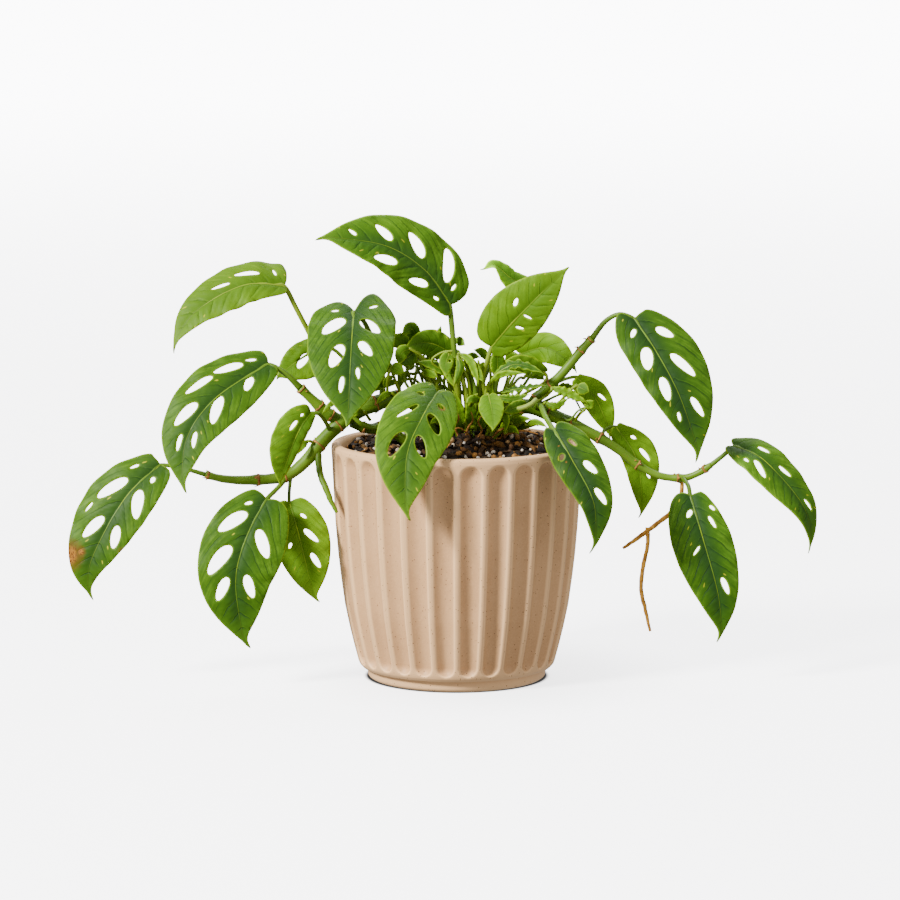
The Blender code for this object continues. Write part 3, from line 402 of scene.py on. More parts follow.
# Small leaves that only the scene has, by what they grow from: stalk, rib, half width, look and
# changes. A place is read from the picture, in pixels across and down, and has its depth in
# millimetres behind the pot's middle
CROWN_TUFTS = (
    ((452, 412, 4, 430, 375, 8, 412, 348, 12), (407, 344, 12, 400, 340, 10, 392, 336, 6), 5, 1,
     HEART),
    ((455, 410, 8, 436, 372, 14, 420, 344, 18), (417, 338, 18, 411, 328, 14, 402, 335, 8), 4, 0,
     {**HEART, "sag": 0.5}),
    ((456, 406, 10, 446, 372, 14, 439, 344, 16), (438, 338, 16, 439, 332, 15, 441, 326, 14), 1.8, 1),
    ((462, 400, 6, 458, 370, 8, 455, 346, 8), (455, 341, 8, 459, 341, 6, 465, 345, 2), 3, 0),
    ((456, 408, 0, 430, 368, 0, 412, 350, 0), (409, 349, 0, 402, 353, -4, 399, 365, -8), 4.2, 2,
     {**HEART, "sag": 0.45}),
    ((462, 408, -4, 458, 390, -8, 455, 380, -9), (452, 377, -9, 436, 366, -10, 416, 362, -10), 4, 0,
     {"face": ((0.1, -0.7, 0.7), (0.0, -0.7, 0.7))}),
    ((450, 410, -2, 432, 385, -6, 423, 374, -8), (423, 372, -8, 430, 373, -11, 438, 378, -13), 3.2, 3),
    ((462, 412, -6, 458, 385, -12, 449, 358, -14), (449, 354, -14, 446, 363, -18, 447, 376, -20), 4.6, 4,
     {**HEART, "holes": ((5, -2, 3, 1.6, 20),)}),
    ((466, 412, -6, 470, 392, -12, 460, 362, -15), (457, 356, -15, 460, 368, -19, 454, 386, -19), 2.6, 0,
     {"rise": -0.5}),
    ((470, 412, -4, 464, 380, -8, 459, 358, -9), (459, 354, -9, 470, 361, -12, 479, 385, -16), 2.6, 3,
     {"rise": 0.6}),
    ((482, 410, 6, 492, 385, 8, 496, 374, 8), (494, 374, 8, 497, 364, 8, 498, 351, 7), 4.2, 3,
     {"rise": 0.5}),
    ((486, 408, -2, 490, 385, -5, 495, 376, -6), (495, 374, -6, 516, 364, -10, 544, 373, -14), 3.6, 5,
     {"wave": 1.6, "face": ((0.0, -0.6, 0.8), (0.0, -0.8, 0.6))}),
    ((484, 410, -6, 486, 392, -10, 489, 384, -11), (489, 383, -11, 503, 374, -14, 526, 373, -17), 2, 3,
     {"wave": 1.0}),
    ((494, 414, -12, 497, 408, -18, 500, 410, -20), (500, 410, -20, 506, 418, -24, 505, 433, -26), 2.4, 2),
    ((468, 424, -10, 466, 424, -12, 464, 424, -13), (464, 423, -13, 463, 416, -15, 465, 408, -16), 3.4, 3,
     HEART),
    ((480, 412, -10, 478, 404, -16, 480, 400, -20), (480, 401, -22, 472, 399, -26, 466, 404, -28), 2.8, 2),
    ((490, 410, -2, 495, 398, -4, 499, 393, -5), (499, 392, -5, 520, 388, -9, 546, 385, -12), 3.2, 5,
     {"wave": 2.0, "rag": 0.28, "face": ((0.0, -0.6, 0.8), (0.0, -0.6, 0.8))}),
    ((488, 412, -4, 492, 402, -8, 497, 398, -10), (497, 397, -10, 513, 399, -14, 529, 394, -16), 3.4, 0,
     {"wave": 1.4, "rag": 0.3}),
    ((500, 418, -10, 508, 424, -16, 512, 424, -18), (512, 424, -18, 521, 419, -22, 531, 419, -24), 2.6, 2),
    ((504, 420, -10, 520, 424, -18, 526, 425, -20), (526, 425, -20, 536, 422, -25, 547, 427, -28), 2.2, 1),
    ((500, 420, -12, 504, 428, -20, 507, 431, -22), (507, 431, -22, 513, 429, -26, 519, 434, -28), 2.4, 3),
    ((500, 410, 2, 520, 404, 4, 530, 404, 6), (530, 404, 8, 541, 408, 4, 549, 416, -2), 3, 2),
    ((450, 416, -4, 446, 420, -10, 443, 424, -12), (443, 424, -12, 436, 420, -16, 430, 424, -18), 2.4, 2),
    ((440, 408, 2, 420, 384, 4, 400, 382, 2), (398, 382, 2, 384, 384, -2, 371, 393, -6), 2.6, 2,
     {"rise": 0.4}),
    ((440, 412, 4, 426, 380, 6, 412, 374, 6), (411, 374, 6, 404, 376, 4, 400, 388, 0), 2.2, 2),
    ((474, 404, 8, 470, 380, 12, 468, 366, 14), (468, 362, 14, 472, 356, 13, 480, 357, 11), 2.6, 0),
    ((480, 404, 14, 484, 380, 20, 487, 364, 24), (487, 360, 24, 482, 352, 22, 474, 350, 18), 2.8, 2),
    ((482, 402, 18, 500, 376, 30, 506, 366, 34), (506, 363, 34, 512, 356, 33, 522, 358, 30), 3, 1),
    ((476, 402, 20, 468, 376, 34, 462, 362, 40), (461, 358, 40, 454, 354, 42, 446, 360, 42), 3.4, 2),
    ((470, 404, 20, 448, 380, 34, 440, 372, 40), (438, 369, 40, 430, 365, 44, 421, 370, 46), 3.4, 1),
    ((492, 404, 20, 514, 384, 36, 524, 378, 42), (526, 376, 42, 535, 374, 45, 545, 380, 47), 3.4, 2),
    ((464, 436, -8, 463, 433, -10, 463, 430, -11), (463, 430, -11, 460, 411, -17, 454, 391, -20), 3.4, 3),
    ((471, 436, -9, 471, 433, -11, 471, 430, -12), (471, 430, -12, 471, 412, -18, 467, 395, -21), 3.8, 4),
    ((479, 437, -9, 479, 434, -11, 480, 431, -12), (480, 431, -12, 484, 414, -18, 483, 400, -20), 3.4, 0),
    ((488, 437, -8, 488, 434, -10, 489, 431, -11), (489, 431, -11, 497, 415, -16, 503, 401, -18), 3.8, 4),
    ((496, 438, -8, 498, 435, -10, 500, 432, -11), (500, 432, -11, 510, 422, -17, 524, 413, -19), 3.2, 3),
    ((504, 438, -6, 507, 436, -9, 510, 433, -10), (510, 433, -10, 521, 426, -17, 538, 425, -21), 2.8, 0),
    ((458, 434, -6, 456, 431, -8, 455, 428, -9), (455, 428, -9, 448, 413, -15, 438, 404, -17), 3.2, 4),
    ((474, 436, -4, 474, 432, -6, 474, 428, -6), (474, 428, -6, 472, 405, -10, 468, 386, -12), 4, 5),
    ((484, 436, -4, 485, 432, -5, 486, 428, -5), (486, 428, -5, 490, 404, -8, 492, 384, -9), 3.6, 3),
)
LEFT_TUFTS = (
    ((398, 410, 0, 396, 398, -4, 392, 393, -6), (392, 393, -6, 385, 395, -9, 376, 404, -10), 2.2, 1),
    ((392, 414, 2, 386, 396, -2, 384, 390, -4), (384, 388, -4, 388, 379, -6, 395, 376, -8), 2.2, 2),
    ((370, 420, -6, 366, 414, -12, 364, 412, -14), (363, 412, -14, 357, 412, -18, 350, 418, -20), 2.4, 1),
    ((318, 446, -10, 312, 442, -18, 309, 441, -20), (308, 441, -20, 303, 445, -23, 298, 454, -24), 2.2, 1),
    ((352, 414, -6, 344, 404, -14, 339, 400, -16), (338, 400, -16, 330, 405, -20, 322, 414, -20), 1.8, 1),
)
RIGHT_TUFTS = (
    ((536, 402, -2, 546, 396, -4, 552, 390, -6), (552, 388, -6, 568, 393, -9, 588, 403, -10), 3.6, 3,
     {"wave": 2.2, "rag": 0.3}),
    ((540, 406, -2, 543, 405, -6, 545, 403, -8), (545, 403, -8, 556, 406, -11, 568, 398, -12), 3, 2,
     {"wave": 1.5, "rag": 0.25}),
    ((536, 404, 0, 548, 392, 4, 556, 388, 6), (556, 388, 6, 566, 386, 5, 576, 388, 3), 2.4, 1,
     {"wave": 1.5, "rag": 0.25}),
)
TUFTS = {"crown": CROWN_TUFTS, "vine_left": LEFT_TUFTS, "vine_right": RIGHT_TUFTS}
# Bare shoots, by what they grow from and their surface: the same kind of places, with radii
SHOOTS = {
    ("crown", "stalk"): (
        (455, 412, 2, 1.5, 424, 398, 2, 1.3, 402, 396, 0, 1.2, 399, 378, 0, 1.1, 398, 364, -2, 0.8),
        (456, 408, 0, 1.2, 428, 396, -2, 1.1, 411, 390, -4, 1, 404, 376, -5, 0.9,
         413, 366, -6, 0.8, 422, 370, -8, 0.6),
        (446, 408, 4, 1, 428, 392, 6, 0.9, 420, 374, 6, 0.9, 414, 356, 6, 0.7),
        (452, 410, 4, 1.3, 436, 390, 6, 1.3, 424, 372, 6, 1.2, 418, 360, 5, 0.8),
        (454, 408, 8, 1, 434, 380, 12, 0.8, 425, 362, 13, 0.7, 424, 352, 13, 0.6),
        (456, 408, 10, 1, 441, 378, 14, 0.8, 437, 362, 15, 0.7, 438, 354, 15, 0.6),
        (476, 414, -8, 2, 475, 394, -10, 2, 471, 376, -10, 1.4, 466, 360, -9, 0.8),
        (492, 412, -4, 1.9, 493, 396, -6, 1.9, 495, 384, -6, 1.3, 499, 374, -6, 0.8),
        (496, 410, 4, 1.3, 505, 394, 6, 1.2, 513, 380, 6, 0.9, 517, 373, 6, 0.7),
        (500, 410, 2, 1.3, 517, 395, 4, 1.1, 526, 382, 4, 1, 532, 373, 3, 0.8),
        (476, 420, -14, 0.9, 479, 412, -20, 0.8, 481, 404, -22, 0.7, 485, 400, -22, 0.5),
        (466, 410, 12, 1.2, 464, 388, 20, 1.1, 462, 370, 24, 0.8, 458, 356, 26, 0.6),
        (476, 408, 14, 1.2, 478, 384, 22, 1.1, 474, 366, 26, 0.8, 468, 354, 27, 0.6),
    ),
    ("crown", "yellow"): (
        (470, 408, -4, 1, 450, 378, -8, 0.8, 432, 362, -11, 0.8, 441, 353, -12, 0.8, 453, 351, -13, 0.7),
        (460, 412, -10, 2, 458, 396, -14, 1.9, 455, 382, -16, 1.5, 452, 374, -16, 0.9),
        (468, 414, -10, 1.9, 466, 396, -12, 1.9, 463, 380, -12, 1.4, 460, 368, -11, 0.8),
        (484, 412, -4, 1.8, 484, 394, -6, 1.8, 482, 376, -6, 1.3, 478, 360, -4, 0.7),
        (462, 414, 4, 1.7, 457, 398, 4, 1.7, 451, 384, 2, 1.2, 447, 374, 0, 0.8),
        (494, 410, 10, 1.1, 503, 392, 14, 1, 507, 380, 14, 0.8, 508, 372, 14, 0.6),
        (466, 414, -14, 1, 470, 404, -20, 0.9, 474, 396, -22, 0.7, 478, 394, -22, 0.5),
        (484, 408, 12, 1.2, 490, 386, 18, 1.1, 490, 366, 22, 0.8, 486, 352, 23, 0.6),
    ),
    ("crown", "pale"): (
        (500, 414, -12, 1.9, 511, 410, -18, 1.9, 522, 408, -20, 1.7, 531, 404, -19, 1.5,
         536, 400, -14, 1.8),
    ),
    ("crown", "husk"): (
        (458, 436, -14, 0.6, 455, 426, -18, 0.55, 459, 418, -20, 0.5, 455, 410, -20, 0.25),
        (466, 438, -16, 0.7, 468, 428, -20, 0.6, 473, 420, -22, 0.5, 471, 412, -22, 0.25),
        (470, 438, -16, 0.5, 463, 430, -20, 0.5, 458, 428, -22, 0.4, 452, 430, -22, 0.25),
        (492, 438, -16, 0.7, 500, 430, -20, 0.7, 509, 428, -22, 0.6, 515, 431, -22, 0.3),
        (500, 438, -14, 0.8, 514, 432, -20, 0.8, 526, 431, -22, 0.6, 538, 434, -22, 0.3),
        (478, 438, -16, 0.6, 482, 430, -20, 0.6, 478, 422, -22, 0.5, 482, 416, -22, 0.3),
    ),
    ("vine_left", "stalk"): (
        (384, 424, -4, 2, 374, 428, -8, 1.9, 362, 424, -12, 1.7, 352, 416, -14, 1),
    ),
    ("vine_right", "stalk"): (
        (540, 404, 2, 1, 556, 396, 2, 0.8, 567, 392, 2, 0.8, 577, 384, 2, 0.6),
        (562, 418, -2, 0.9, 570, 420, -6, 0.8, 578, 411, -8, 0.7, 588, 406, -8, 0.5),
        (566, 390, 4, 0.8, 573, 396, 2, 0.7, 580, 408, 0, 0.6, 581, 411, 0, 0.5),
    ),
}
# How young the six looks of the small leaves are, how bright, and their ribs
# Youth past one and the brightness paint in light shining through small leaves that lie in shade
SMALL_SHARES = (0.45, 1.00, 0.75, 1.25, 0.60, 0.15)
SMALL_PAINTED_LIGHT = 1.15
SMALL_RIB = (0.12, 0.20, 0.01)
# Pot's glaze, leaf marks and dry skins
# The dark glaze also paints shade in the flutes, the pale glaze highlights on their edges
CLAY_DARK_AND_SHADE = (0.400, 0.212, 0.092)
CLAY_LIGHT = (0.620, 0.362, 0.172)
CLAY_PALE_AND_HIGHLIGHT = (0.860, 0.530, 0.260)
CLAY_SPECK = (0.150, 0.055, 0.020)
PIN = (0.400, 0.420, 0.010)
BURN_DARK = (0.080, 0.022, 0.005)
BURN_PALE = (0.330, 0.140, 0.016)
SCORCH = (0.110, 0.062, 0.004)
FLECK = (0.160, 0.085, 0.015)
HUSK_DARK = (0.140, 0.050, 0.008)
HUSK_LIGHT = (0.460, 0.220, 0.050)
ROOT_DARK = (0.330, 0.130, 0.012)
ROOT_LIGHT = (0.800, 0.400, 0.055)
ROOT_BAND = (0.200, 0.070, 0.010)
EARTH_DARK = (0.004, 0.002, 0.001)
EARTH_LIGHT = (0.035, 0.016, 0.007)
# Colours and strengths of a grown and of a young leaf
LEAF_LOOK = {
    "deep": ((0.0090, 0.0370, 0.0080), (0.0500, 0.1250, 0.0010)),
    "dark": ((0.0170, 0.0580, 0.0020), (0.0780, 0.1750, 0.0010)),
    "mid": ((0.0350, 0.1000, 0.0020), (0.1200, 0.2550, 0.0030)),
    "light": ((0.0850, 0.2000, 0.0050), (0.1850, 0.3500, 0.0060)),
    "pale": ((0.1700, 0.3100, 0.0200), (0.2700, 0.4300, 0.0250)),
    "vein": ((0.0070, 0.0300, 0.0040), (0.0420, 0.1080, 0.0010)),
    "rib": ((0.1900, 0.2900, 0.0100), (0.2500, 0.3700, 0.0200)),
    "edge": ((0.2100, 0.3600, 0.0050), (0.3200, 0.4500, 0.0100)),
    # The first strength is for the painted shade along one side of each side vein
    "painted_vein_shade": (0.54, 0.30),
    "halo": (0.62, 0.26),
    "outer": (0.70, 0.45),
    "tip": (0.70, 0.60),
    "rim": (0.62, 0.40),
    "line": (0.62, 0.52),
    "pins": (0.80, 0.70),
    "gloss": (0.50, 0.50),
}
# Skins of stems: dark, middle and light green, how much lighter the young end is, and flecks
STEM_LOOKS = {
    # On the main stems the lighter young end is partly painted light on ends in the leaves' shade
    "stem": ((0.030, 0.080, 0.002), (0.058, 0.132, 0.003), (0.135, 0.250, 0.006), 0.75, 0.45),
    "stalk": ((0.045, 0.100, 0.002), (0.085, 0.175, 0.004), (0.170, 0.290, 0.012), 0.30, 0.20),
    "yellow_stalk": ((0.105, 0.170, 0.002), (0.165, 0.250, 0.005), (0.260, 0.360, 0.020), 0.30, 0.15),
    "pale_shoot": ((0.150, 0.230, 0.010), (0.230, 0.330, 0.030), (0.400, 0.500, 0.120), 0.30, 0.10),
}
# Colours of the crumbs, from dark to pale
BARK = ((0.004, 0.002, 0.001), (0.016, 0.007, 0.002), (0.058, 0.025, 0.004), (0.210, 0.090, 0.012))
STONE = ((0.050, 0.022, 0.008), (0.200, 0.085, 0.022), (0.460, 0.200, 0.030), (0.540, 0.330, 0.130))
GRAIN_COLOURS = ((0.480, 0.380, 0.270), (0.680, 0.600, 0.500), (0.800, 0.760, 0.700))


# Small helpers


def rows_between(points, steps):
    """Points on a soft line through the given rows of numbers."""
    rows = np.array(points, dtype=float)
    out = []
    last = len(rows) - 1
    for i in range(last):
        p, q, r, s = (rows[min(max(k, 0), last)] for k in (i - 1, i, i + 1, i + 2))
        for k in range(steps):
            t = k / steps
            line = 2 * q + (r - p) * t + (2 * p - 5 * q + 4 * r - s) * t * t
            out.append(0.5 * (line + (3 * q - p - 3 * r + s) * t**3))
    out.append(rows[last])
    return np.array(out)


def unit(rows):
    """Rows of vectors at length one."""
    return rows / np.maximum(np.linalg.norm(rows, axis=-1, keepdims=True), 1e-9)


def run(rows):
    """Distances along a line of places from its first place."""
    gaps = np.linalg.norm(np.diff(rows, axis=0), axis=1)
    return np.concatenate([[0.0], np.cumsum(gaps)])


def ring_faces(levels, steps, start=0, closed=False, flip=False):
    """Faces between rings of points, each ring with its next."""
    faces = []
    for k in range(levels if closed else levels - 1):
        a = start + k * steps
        b = start + (k + 1) % levels * steps
        for i in range(steps):
            j = (i + 1) % steps
            face = (a + i, a + j, b + j, b + i)
            faces.append((face[0], *face[:0:-1]) if flip else face)
    return faces


def photo_places(numbers, columns=3):
    """Places in millimetres from a row of pixels across, pixels down, depths and any radii."""
    slope = math.atan2(EYE[2] - AIM[2], AIM[1] - EYE[1])
    lens = FOCAL / SENSOR * PICTURE
    out = []
    for k in range(0, len(numbers), columns):
        across, down, deep, *radius = numbers[k : k + columns]
        right = (across - PICTURE / 2) / lens
        up = (PICTURE / 2 - down) / lens
        far = (deep - EYE[1]) / (math.cos(slope) + up * math.sin(slope))
        level = EYE[2] + far * (up * math.cos(slope) - math.sin(slope))
        out.append((round(EYE[0] + far * right, 1), deep, round(level, 1), *radius))
    return out


def rooted(place, level):
    """A place inside the rootstock that a stalk of the crown comes from."""
    return (round(0.5 * (place[0] + CORE_X), 1), place[1], level)


def soft_step(value, low, high):
    """0 below low, 1 above high and a soft rise between."""
    t = np.clip((value - low) / (high - low), 0.0, 1.0)
    return t * t * (3 - 2 * t)


def ripple(x, y, z, seed):
    """A smooth wandering number near -1 to 1 for rows of places in millimetres."""
    a = np.sin(0.61 * x + 1.7 * seed) * np.cos(0.53 * y - 0.4 * seed)
    b = np.sin(0.47 * z + 0.31 * x + 2.3 * seed) * np.cos(0.23 * y + 0.71 * z)
    c = np.sin(1.31 * x - 0.9 * y + 1.1 * z + seed)
    return 0.45 * a + 0.4 * b + 0.25 * c


def piece(name, points, faces, surfaces, node, marks=None, soft=True):
    """One piece of the object from points in millimetres, riding on the only body."""
    mesh = bpy.data.meshes.new(name)
    mesh.from_pydata((np.asarray(points) * MM).tolist(), [], faces)
    for key, values in (marks or {}).items():
        layer = mesh.attributes.new(key, "FLOAT_VECTOR", "POINT")
        layer.data.foreach_set("vector", np.asarray(values, dtype=float).ravel())
    for surface in surfaces:
        mesh.materials.append(surface)
    item = bpy.data.objects.new(name, mesh)
    bpy.context.scene.collection.objects.link(item)
    if soft:
        mesh.shade_smooth()
    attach(item, BODY)
    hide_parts(node)
    return item


def merged(parts):
    """One set of points, faces and marks from several."""
    points, faces, marks, start = [], [], [], 0
    for places, cells, values in parts:
        points.append(places)
        marks.append(values)
        faces += [tuple(int(i) + start for i in face) for face in cells]
        start += len(places)
    return np.vstack(points), faces, np.vstack(marks)


def stem_piece(name, parts, surface, node):
    """One piece from several stems or husks."""
    points, faces, marks = merged(parts)
    piece(name, points, faces, [surface], node, {"stem": marks})


def leaf_piece(name, parts, surfaces, node, depth):
    """One piece from several blades, made as thick as a leaf, with its second surface below."""
    points, faces, marks = merged(parts)
    marks = {"leaf": marks[:, :3], "vein": marks[:, 3:]}
    item = piece(name, points, faces, surfaces, node, marks)
    skin = item.modifiers.new("skin", "SOLIDIFY")
    skin.thickness = depth * MM
    skin.offset = 0.0
    skin.material_offset = 1


class Surface:
    """A node material written as short expressions."""

    def __init__(self, name, **fixed):
        self.material = bpy.data.materials.new(name)
        self.material.use_nodes = True
        self.tree = self.material.node_tree
        self.shader = self.tree.nodes["Principled BSDF"]
        for key, value in fixed.items():
            self.shader.inputs[key.replace("_", " ")].default_value = value

    def node(self, kind, inputs=(), **settings):
        """A new node with its settings, and values or links at its inputs."""
        made = self.tree.nodes.new("ShaderNode" + kind)
        for key, value in settings.items():
            setattr(made, key, value)
        for key, value in dict(inputs).items():
            self.plug(made.inputs[key], value)
        return made

    def plug(self, socket, value):
        if isinstance(value, bpy.types.NodeSocket):
            self.tree.links.new(value, socket)
        elif isinstance(value, tuple) and len(value) == 3 and socket.type == "RGBA":
            socket.default_value = (*value, 1.0)
        else:
            socket.default_value = value

    def maths(self, operation, a, b=0.0, c=0.0):
        """Any operation of the Math node."""
        made = self.node("Math", operation=operation)
        for socket, value in zip(made.inputs, (a, b, c)):
            self.plug(socket, value)
        return made.outputs[0]

    def times(self, a, b):
        return self.maths("MULTIPLY", a, b)

    def plus(self, a, b):
        return self.maths("ADD", a, b)

    def minus(self, a, b):
        return self.maths("SUBTRACT", a, b)

    def line(self, value, slope, start):
        """A value times a slope, plus a start."""
        return self.maths("MULTIPLY_ADD", value, slope, start)

    def size(self, value):
        """A value without its sign."""
        return self.maths("ABSOLUTE", value)

    def away(self, a, b):
        """How far a flat place is from the middle."""
        squares = [self.maths("POWER", value, 2.0) for value in (a, b)]
        return self.maths("SQRT", self.plus(*squares))

    def step(self, value, low, high, start=0.0, end=1.0):
        """A soft rise or fall of a value between two limits."""
        limits = {"Value": value, "From Min": low, "From Max": high}
        limits.update({"To Min": start, "To Max": end})
        made = self.node("MapRange", limits, interpolation_type="SMOOTHSTEP")
        return made.outputs["Result"]

    def mix(self, share, a, b):
        """The first colour at share 0 and the second at share 1."""
        made = self.node("Mix", data_type="RGBA")
        for socket, value in zip((made.inputs["Factor"], *made.inputs[6:8]), (share, a, b)):
            self.plug(socket, value)
        return made.outputs[2]

    def mark(self, name):
        return self.node("Attribute", attribute_name=name).outputs["Vector"]

    def parts(self, vector):
        """The three numbers of a vector."""
        return self.node("SeparateXYZ", {"Vector": vector}).outputs

    def pair(self, x, y):
        return self.node("CombineXYZ", {"X": x, "Y": y}).outputs[0]

    def place(self):
        return self.node("TexCoord").outputs["Object"]

    def stretch(self, vector, scale):
        """A vector with each axis scaled."""
        return self.node("Mapping", {"Vector": vector, "Scale": scale}).outputs[0]

    def noise(self, vector, scale, detail=2.0, rough=0.5):
        inputs = {"Vector": vector, "Scale": scale, "Detail": detail, "Roughness": rough}
        return self.node("TexNoise", inputs).outputs["Fac"]

    def cells(self, vector, scale, feature="F1"):
        made = self.node("TexVoronoi", {"Vector": vector, "Scale": scale}, feature=feature)
        return made.outputs["Distance"]

    def finish(self, colour, rough, height, distance, strength):
        """Colour, roughness and relief go to the shader, and the material is ready."""
        inputs = {"Height": height, "Distance": distance * MM, "Strength": strength}
        bump = self.node("Bump", inputs).outputs[0]
        for key, value in (("Base Color", colour), ("Roughness", rough), ("Normal", bump)):
            self.plug(self.shader.inputs[key], value)
        return self.material


# Leaves


class Rib:
    """The middle line of a leaf with the directions across it and out of it."""

    def __init__(self, line, face):
        self.points = rows_between(line, 12)
        self.face = [unit(np.array(f, dtype=float)) for f in face]
        self.lengths = run(self.points)
        self.length = float(self.lengths[-1])

    def at(self, along):
        """Places, directions, sideways and outward at distances from the base."""
        along = np.asarray(along, dtype=float)
        rows = self.points
        last = len(rows) - 1
        i = np.clip(np.searchsorted(self.lengths, along, side="left") - 1, 0, last - 1)
        span = self.lengths[i + 1] - self.lengths[i]
        t = ((along - self.lengths[i]) / span)[:, None]
        place = rows[i] + (rows[i + 1] - rows[i]) * t
        before = unit(rows[i + 1] - rows[np.maximum(i - 1, 0)])
        after = unit(rows[np.minimum(i + 2, last)] - rows[i])
        t = np.clip(t, 0.0, 1.0)
        direction = unit(before + (after - before) * t)
        share = np.clip(along / self.length, 0.0, 1.0)[:, None]
        face = self.face[0] + (self.face[-1] - self.face[0]) * share
        across = unit(np.cross(direction, face))
        return place, direction, across, unit(np.cross(across, direction))


def grown(row):
    """A leaf's row with what it leaves out, and its middle line."""
    leaf = {**PLAIN_LEAF, **row}
    leaf["middle"] = Rib(leaf["rib"], leaf["face"])
    leaf["length"] = leaf["middle"].length
    return leaf


def leaf_height(leaf, along, across):
    """How far points of the blade stand out of the flat leaf."""
    half = np.where(across > 0, leaf["wide"][0], leaf["wide"][1])
    share = np.abs(across) / half
    pace = 2 * math.pi / (0.17 * leaf["length"])
    phase = np.where(across > 0, 0.9, 2.3)
    lift = leaf["rise"] * np.abs(across)
    lift -= leaf["sag"] * half * share * share
    return lift + leaf["wave"] * share * share * np.sin(along * pace + phase)


def half_outline(leaf, side):
    """One edge of a leaf: lobes behind the stalk, fuller base, belly nearer the tip."""
    lobe, base, belly = (leaf[key][side] for key in ("lobes", "base", "belly"))
    rows = []
    for along, across in (*HALF, *TAIL):
        if along < 0.1:
            across = min(across * base, 0.97)
        elif along < 0.2:
            across = min(across * (1 + 0.4 * (base - 1)), 1.0)
        rows.append((along * lobe if along < 0 else along**belly, across))
    return rows


def inside(points, polygon):
    """Which flat points lie inside a polygon."""
    x, y = points[:, 0:1], points[:, 1:2]
    x1, y1 = polygon[:, 0], polygon[:, 1]
    x2, y2 = np.roll(x1, 1), np.roll(y1, 1)
    rise = np.where(y2 == y1, 1e-9, y2 - y1)
    hit = ((y1 > y) != (y2 > y)) & (x < (x2 - x1) * (y - y1) / rise + x1)
    return hit.sum(axis=1) % 2 == 1


def distance(points, rows):
    """Distance from each flat point to the closest of some rows."""
    out = np.full(len(points), 1e9)
    for start in range(0, len(rows), 200):
        part = rows[start : start + 200]
        gap = points[:, None, :] - part[None, :, :]
        out = np.minimum(out, np.sqrt((gap**2).sum(axis=2)).min(axis=1))
    return out


def spaced(loop, step):
    """A closed loop with corners at even steps."""
    loop = np.vstack([loop, loop[:1]])
    lengths = run(loop)
    count = max(int(lengths[-1] / step), 8)
    where = np.linspace(0, lengths[-1], count, endpoint=False)
    return np.stack([np.interp(where, lengths, loop[:, k]) for k in (0, 1)], axis=1)


def hole_loop(along, across, long, short, tilt):
    """A hole that is fuller at its near end and narrows outwards."""
    angle = np.linspace(0, 2 * math.pi, 40, endpoint=False)
    x = 0.5 * long * np.cos(angle)
    y = 0.5 * short * np.sin(angle) * (1 - 0.16 * np.cos(angle))
    tilt = math.radians(tilt)
    turn = np.array([[math.cos(tilt), math.sin(tilt)], [-math.sin(tilt), math.cos(tilt)]])
    return np.stack([x, y], axis=1) @ turn + np.array([along, across])


def vein_count(leaf, along, across):
    """Which side vein a point is near: whole numbers lie on the veins, which pass between holes."""
    pace = leaf["veins"] * leaf["length"]
    reach = np.abs(across)
    start = along - VEIN_LEAN * reach - VEIN_BEND * reach * reach
    start = start + 0.5 * np.sin(0.21 * along + 0.9) * soft_step(reach, 2, 12)
    out = np.zeros(len(along))
    for side in (1, -1):
        gaps = []
        for far, wide, long, *_ in leaf["holes"]:
            if wide * side > 0 and long > 7:
                wide = abs(wide)
                gaps.append(far - VEIN_LEAN * wide - VEIN_BEND * wide * wide)
        known, index = [], []
        for gap in sorted(gaps):
            if known and gap - known[-1] < 0.6 * pace:
                continue
            step = 1 if not known else max(round((gap - known[-1]) / pace), 1)
            index.append((index[-1] if index else 0.5) + step)
            known.append(gap)
        if not known:
            known, index = [0.35 * leaf["length"]], [3.5]
        places = [known[0] - 20 * pace, *known, known[-1] + 20 * pace]
        counts = [index[0] - 20, *index, index[-1] + 20]
        rows = (across >= 0) if side == 1 else (across < 0)
        out[rows] = np.interp(start[rows], places, counts)
    return out


def leaf_edges(leaf, grain):
    """The flat outline of a leaf and the outlines of its holes, at even steps."""
    sides = []
    for side, sign in ((0, 1), (1, -1)):
        half = half_outline(leaf, side)
        rows = [(s * leaf["length"], sign * u * leaf["wide"][side]) for s, u in half]
        rows = rows_between(rows, 8)
        if "rag" in leaf:
            rows[:, 1] *= 1 - leaf["rag"] * (0.5 + 0.5 * np.sin(rows[:, 0] * 1.9 + 2.4 * side))
        rows[1:-1, 1] = sign * np.maximum(sign * rows[1:-1, 1], 0.12)
        sides.append(rows)
    outline = spaced(np.vstack([sides[0], sides[1][-2:0:-1]]), grain * 0.7)
    return outline, [spaced(hole_loop(*hole), grain * 0.55) for hole in leaf["holes"]]


def in_leaf(points, outline, holes):
    """Which flat points lie in the outline and in none of the holes."""
    keep = inside(points, outline)
    for hole in holes:
        keep &= ~inside(points, hole)
    return keep


def grid_points(leaf, grain):
    """A flat grid over a leaf with every other row shifted, and one row on the midrib."""
    across = np.arange(-leaf["wide"][1] - 6, leaf["wide"][0] + 6, grain * 0.87)
    across -= across[np.argmin(np.abs(across))]
    grid = []
    for k, u in enumerate(across):
        start = -0.3 * leaf["length"] + 0.5 * grain * (k % 2)
        grid += [(a, u) for a in np.arange(start, leaf["length"], grain)]
    return np.array(grid)


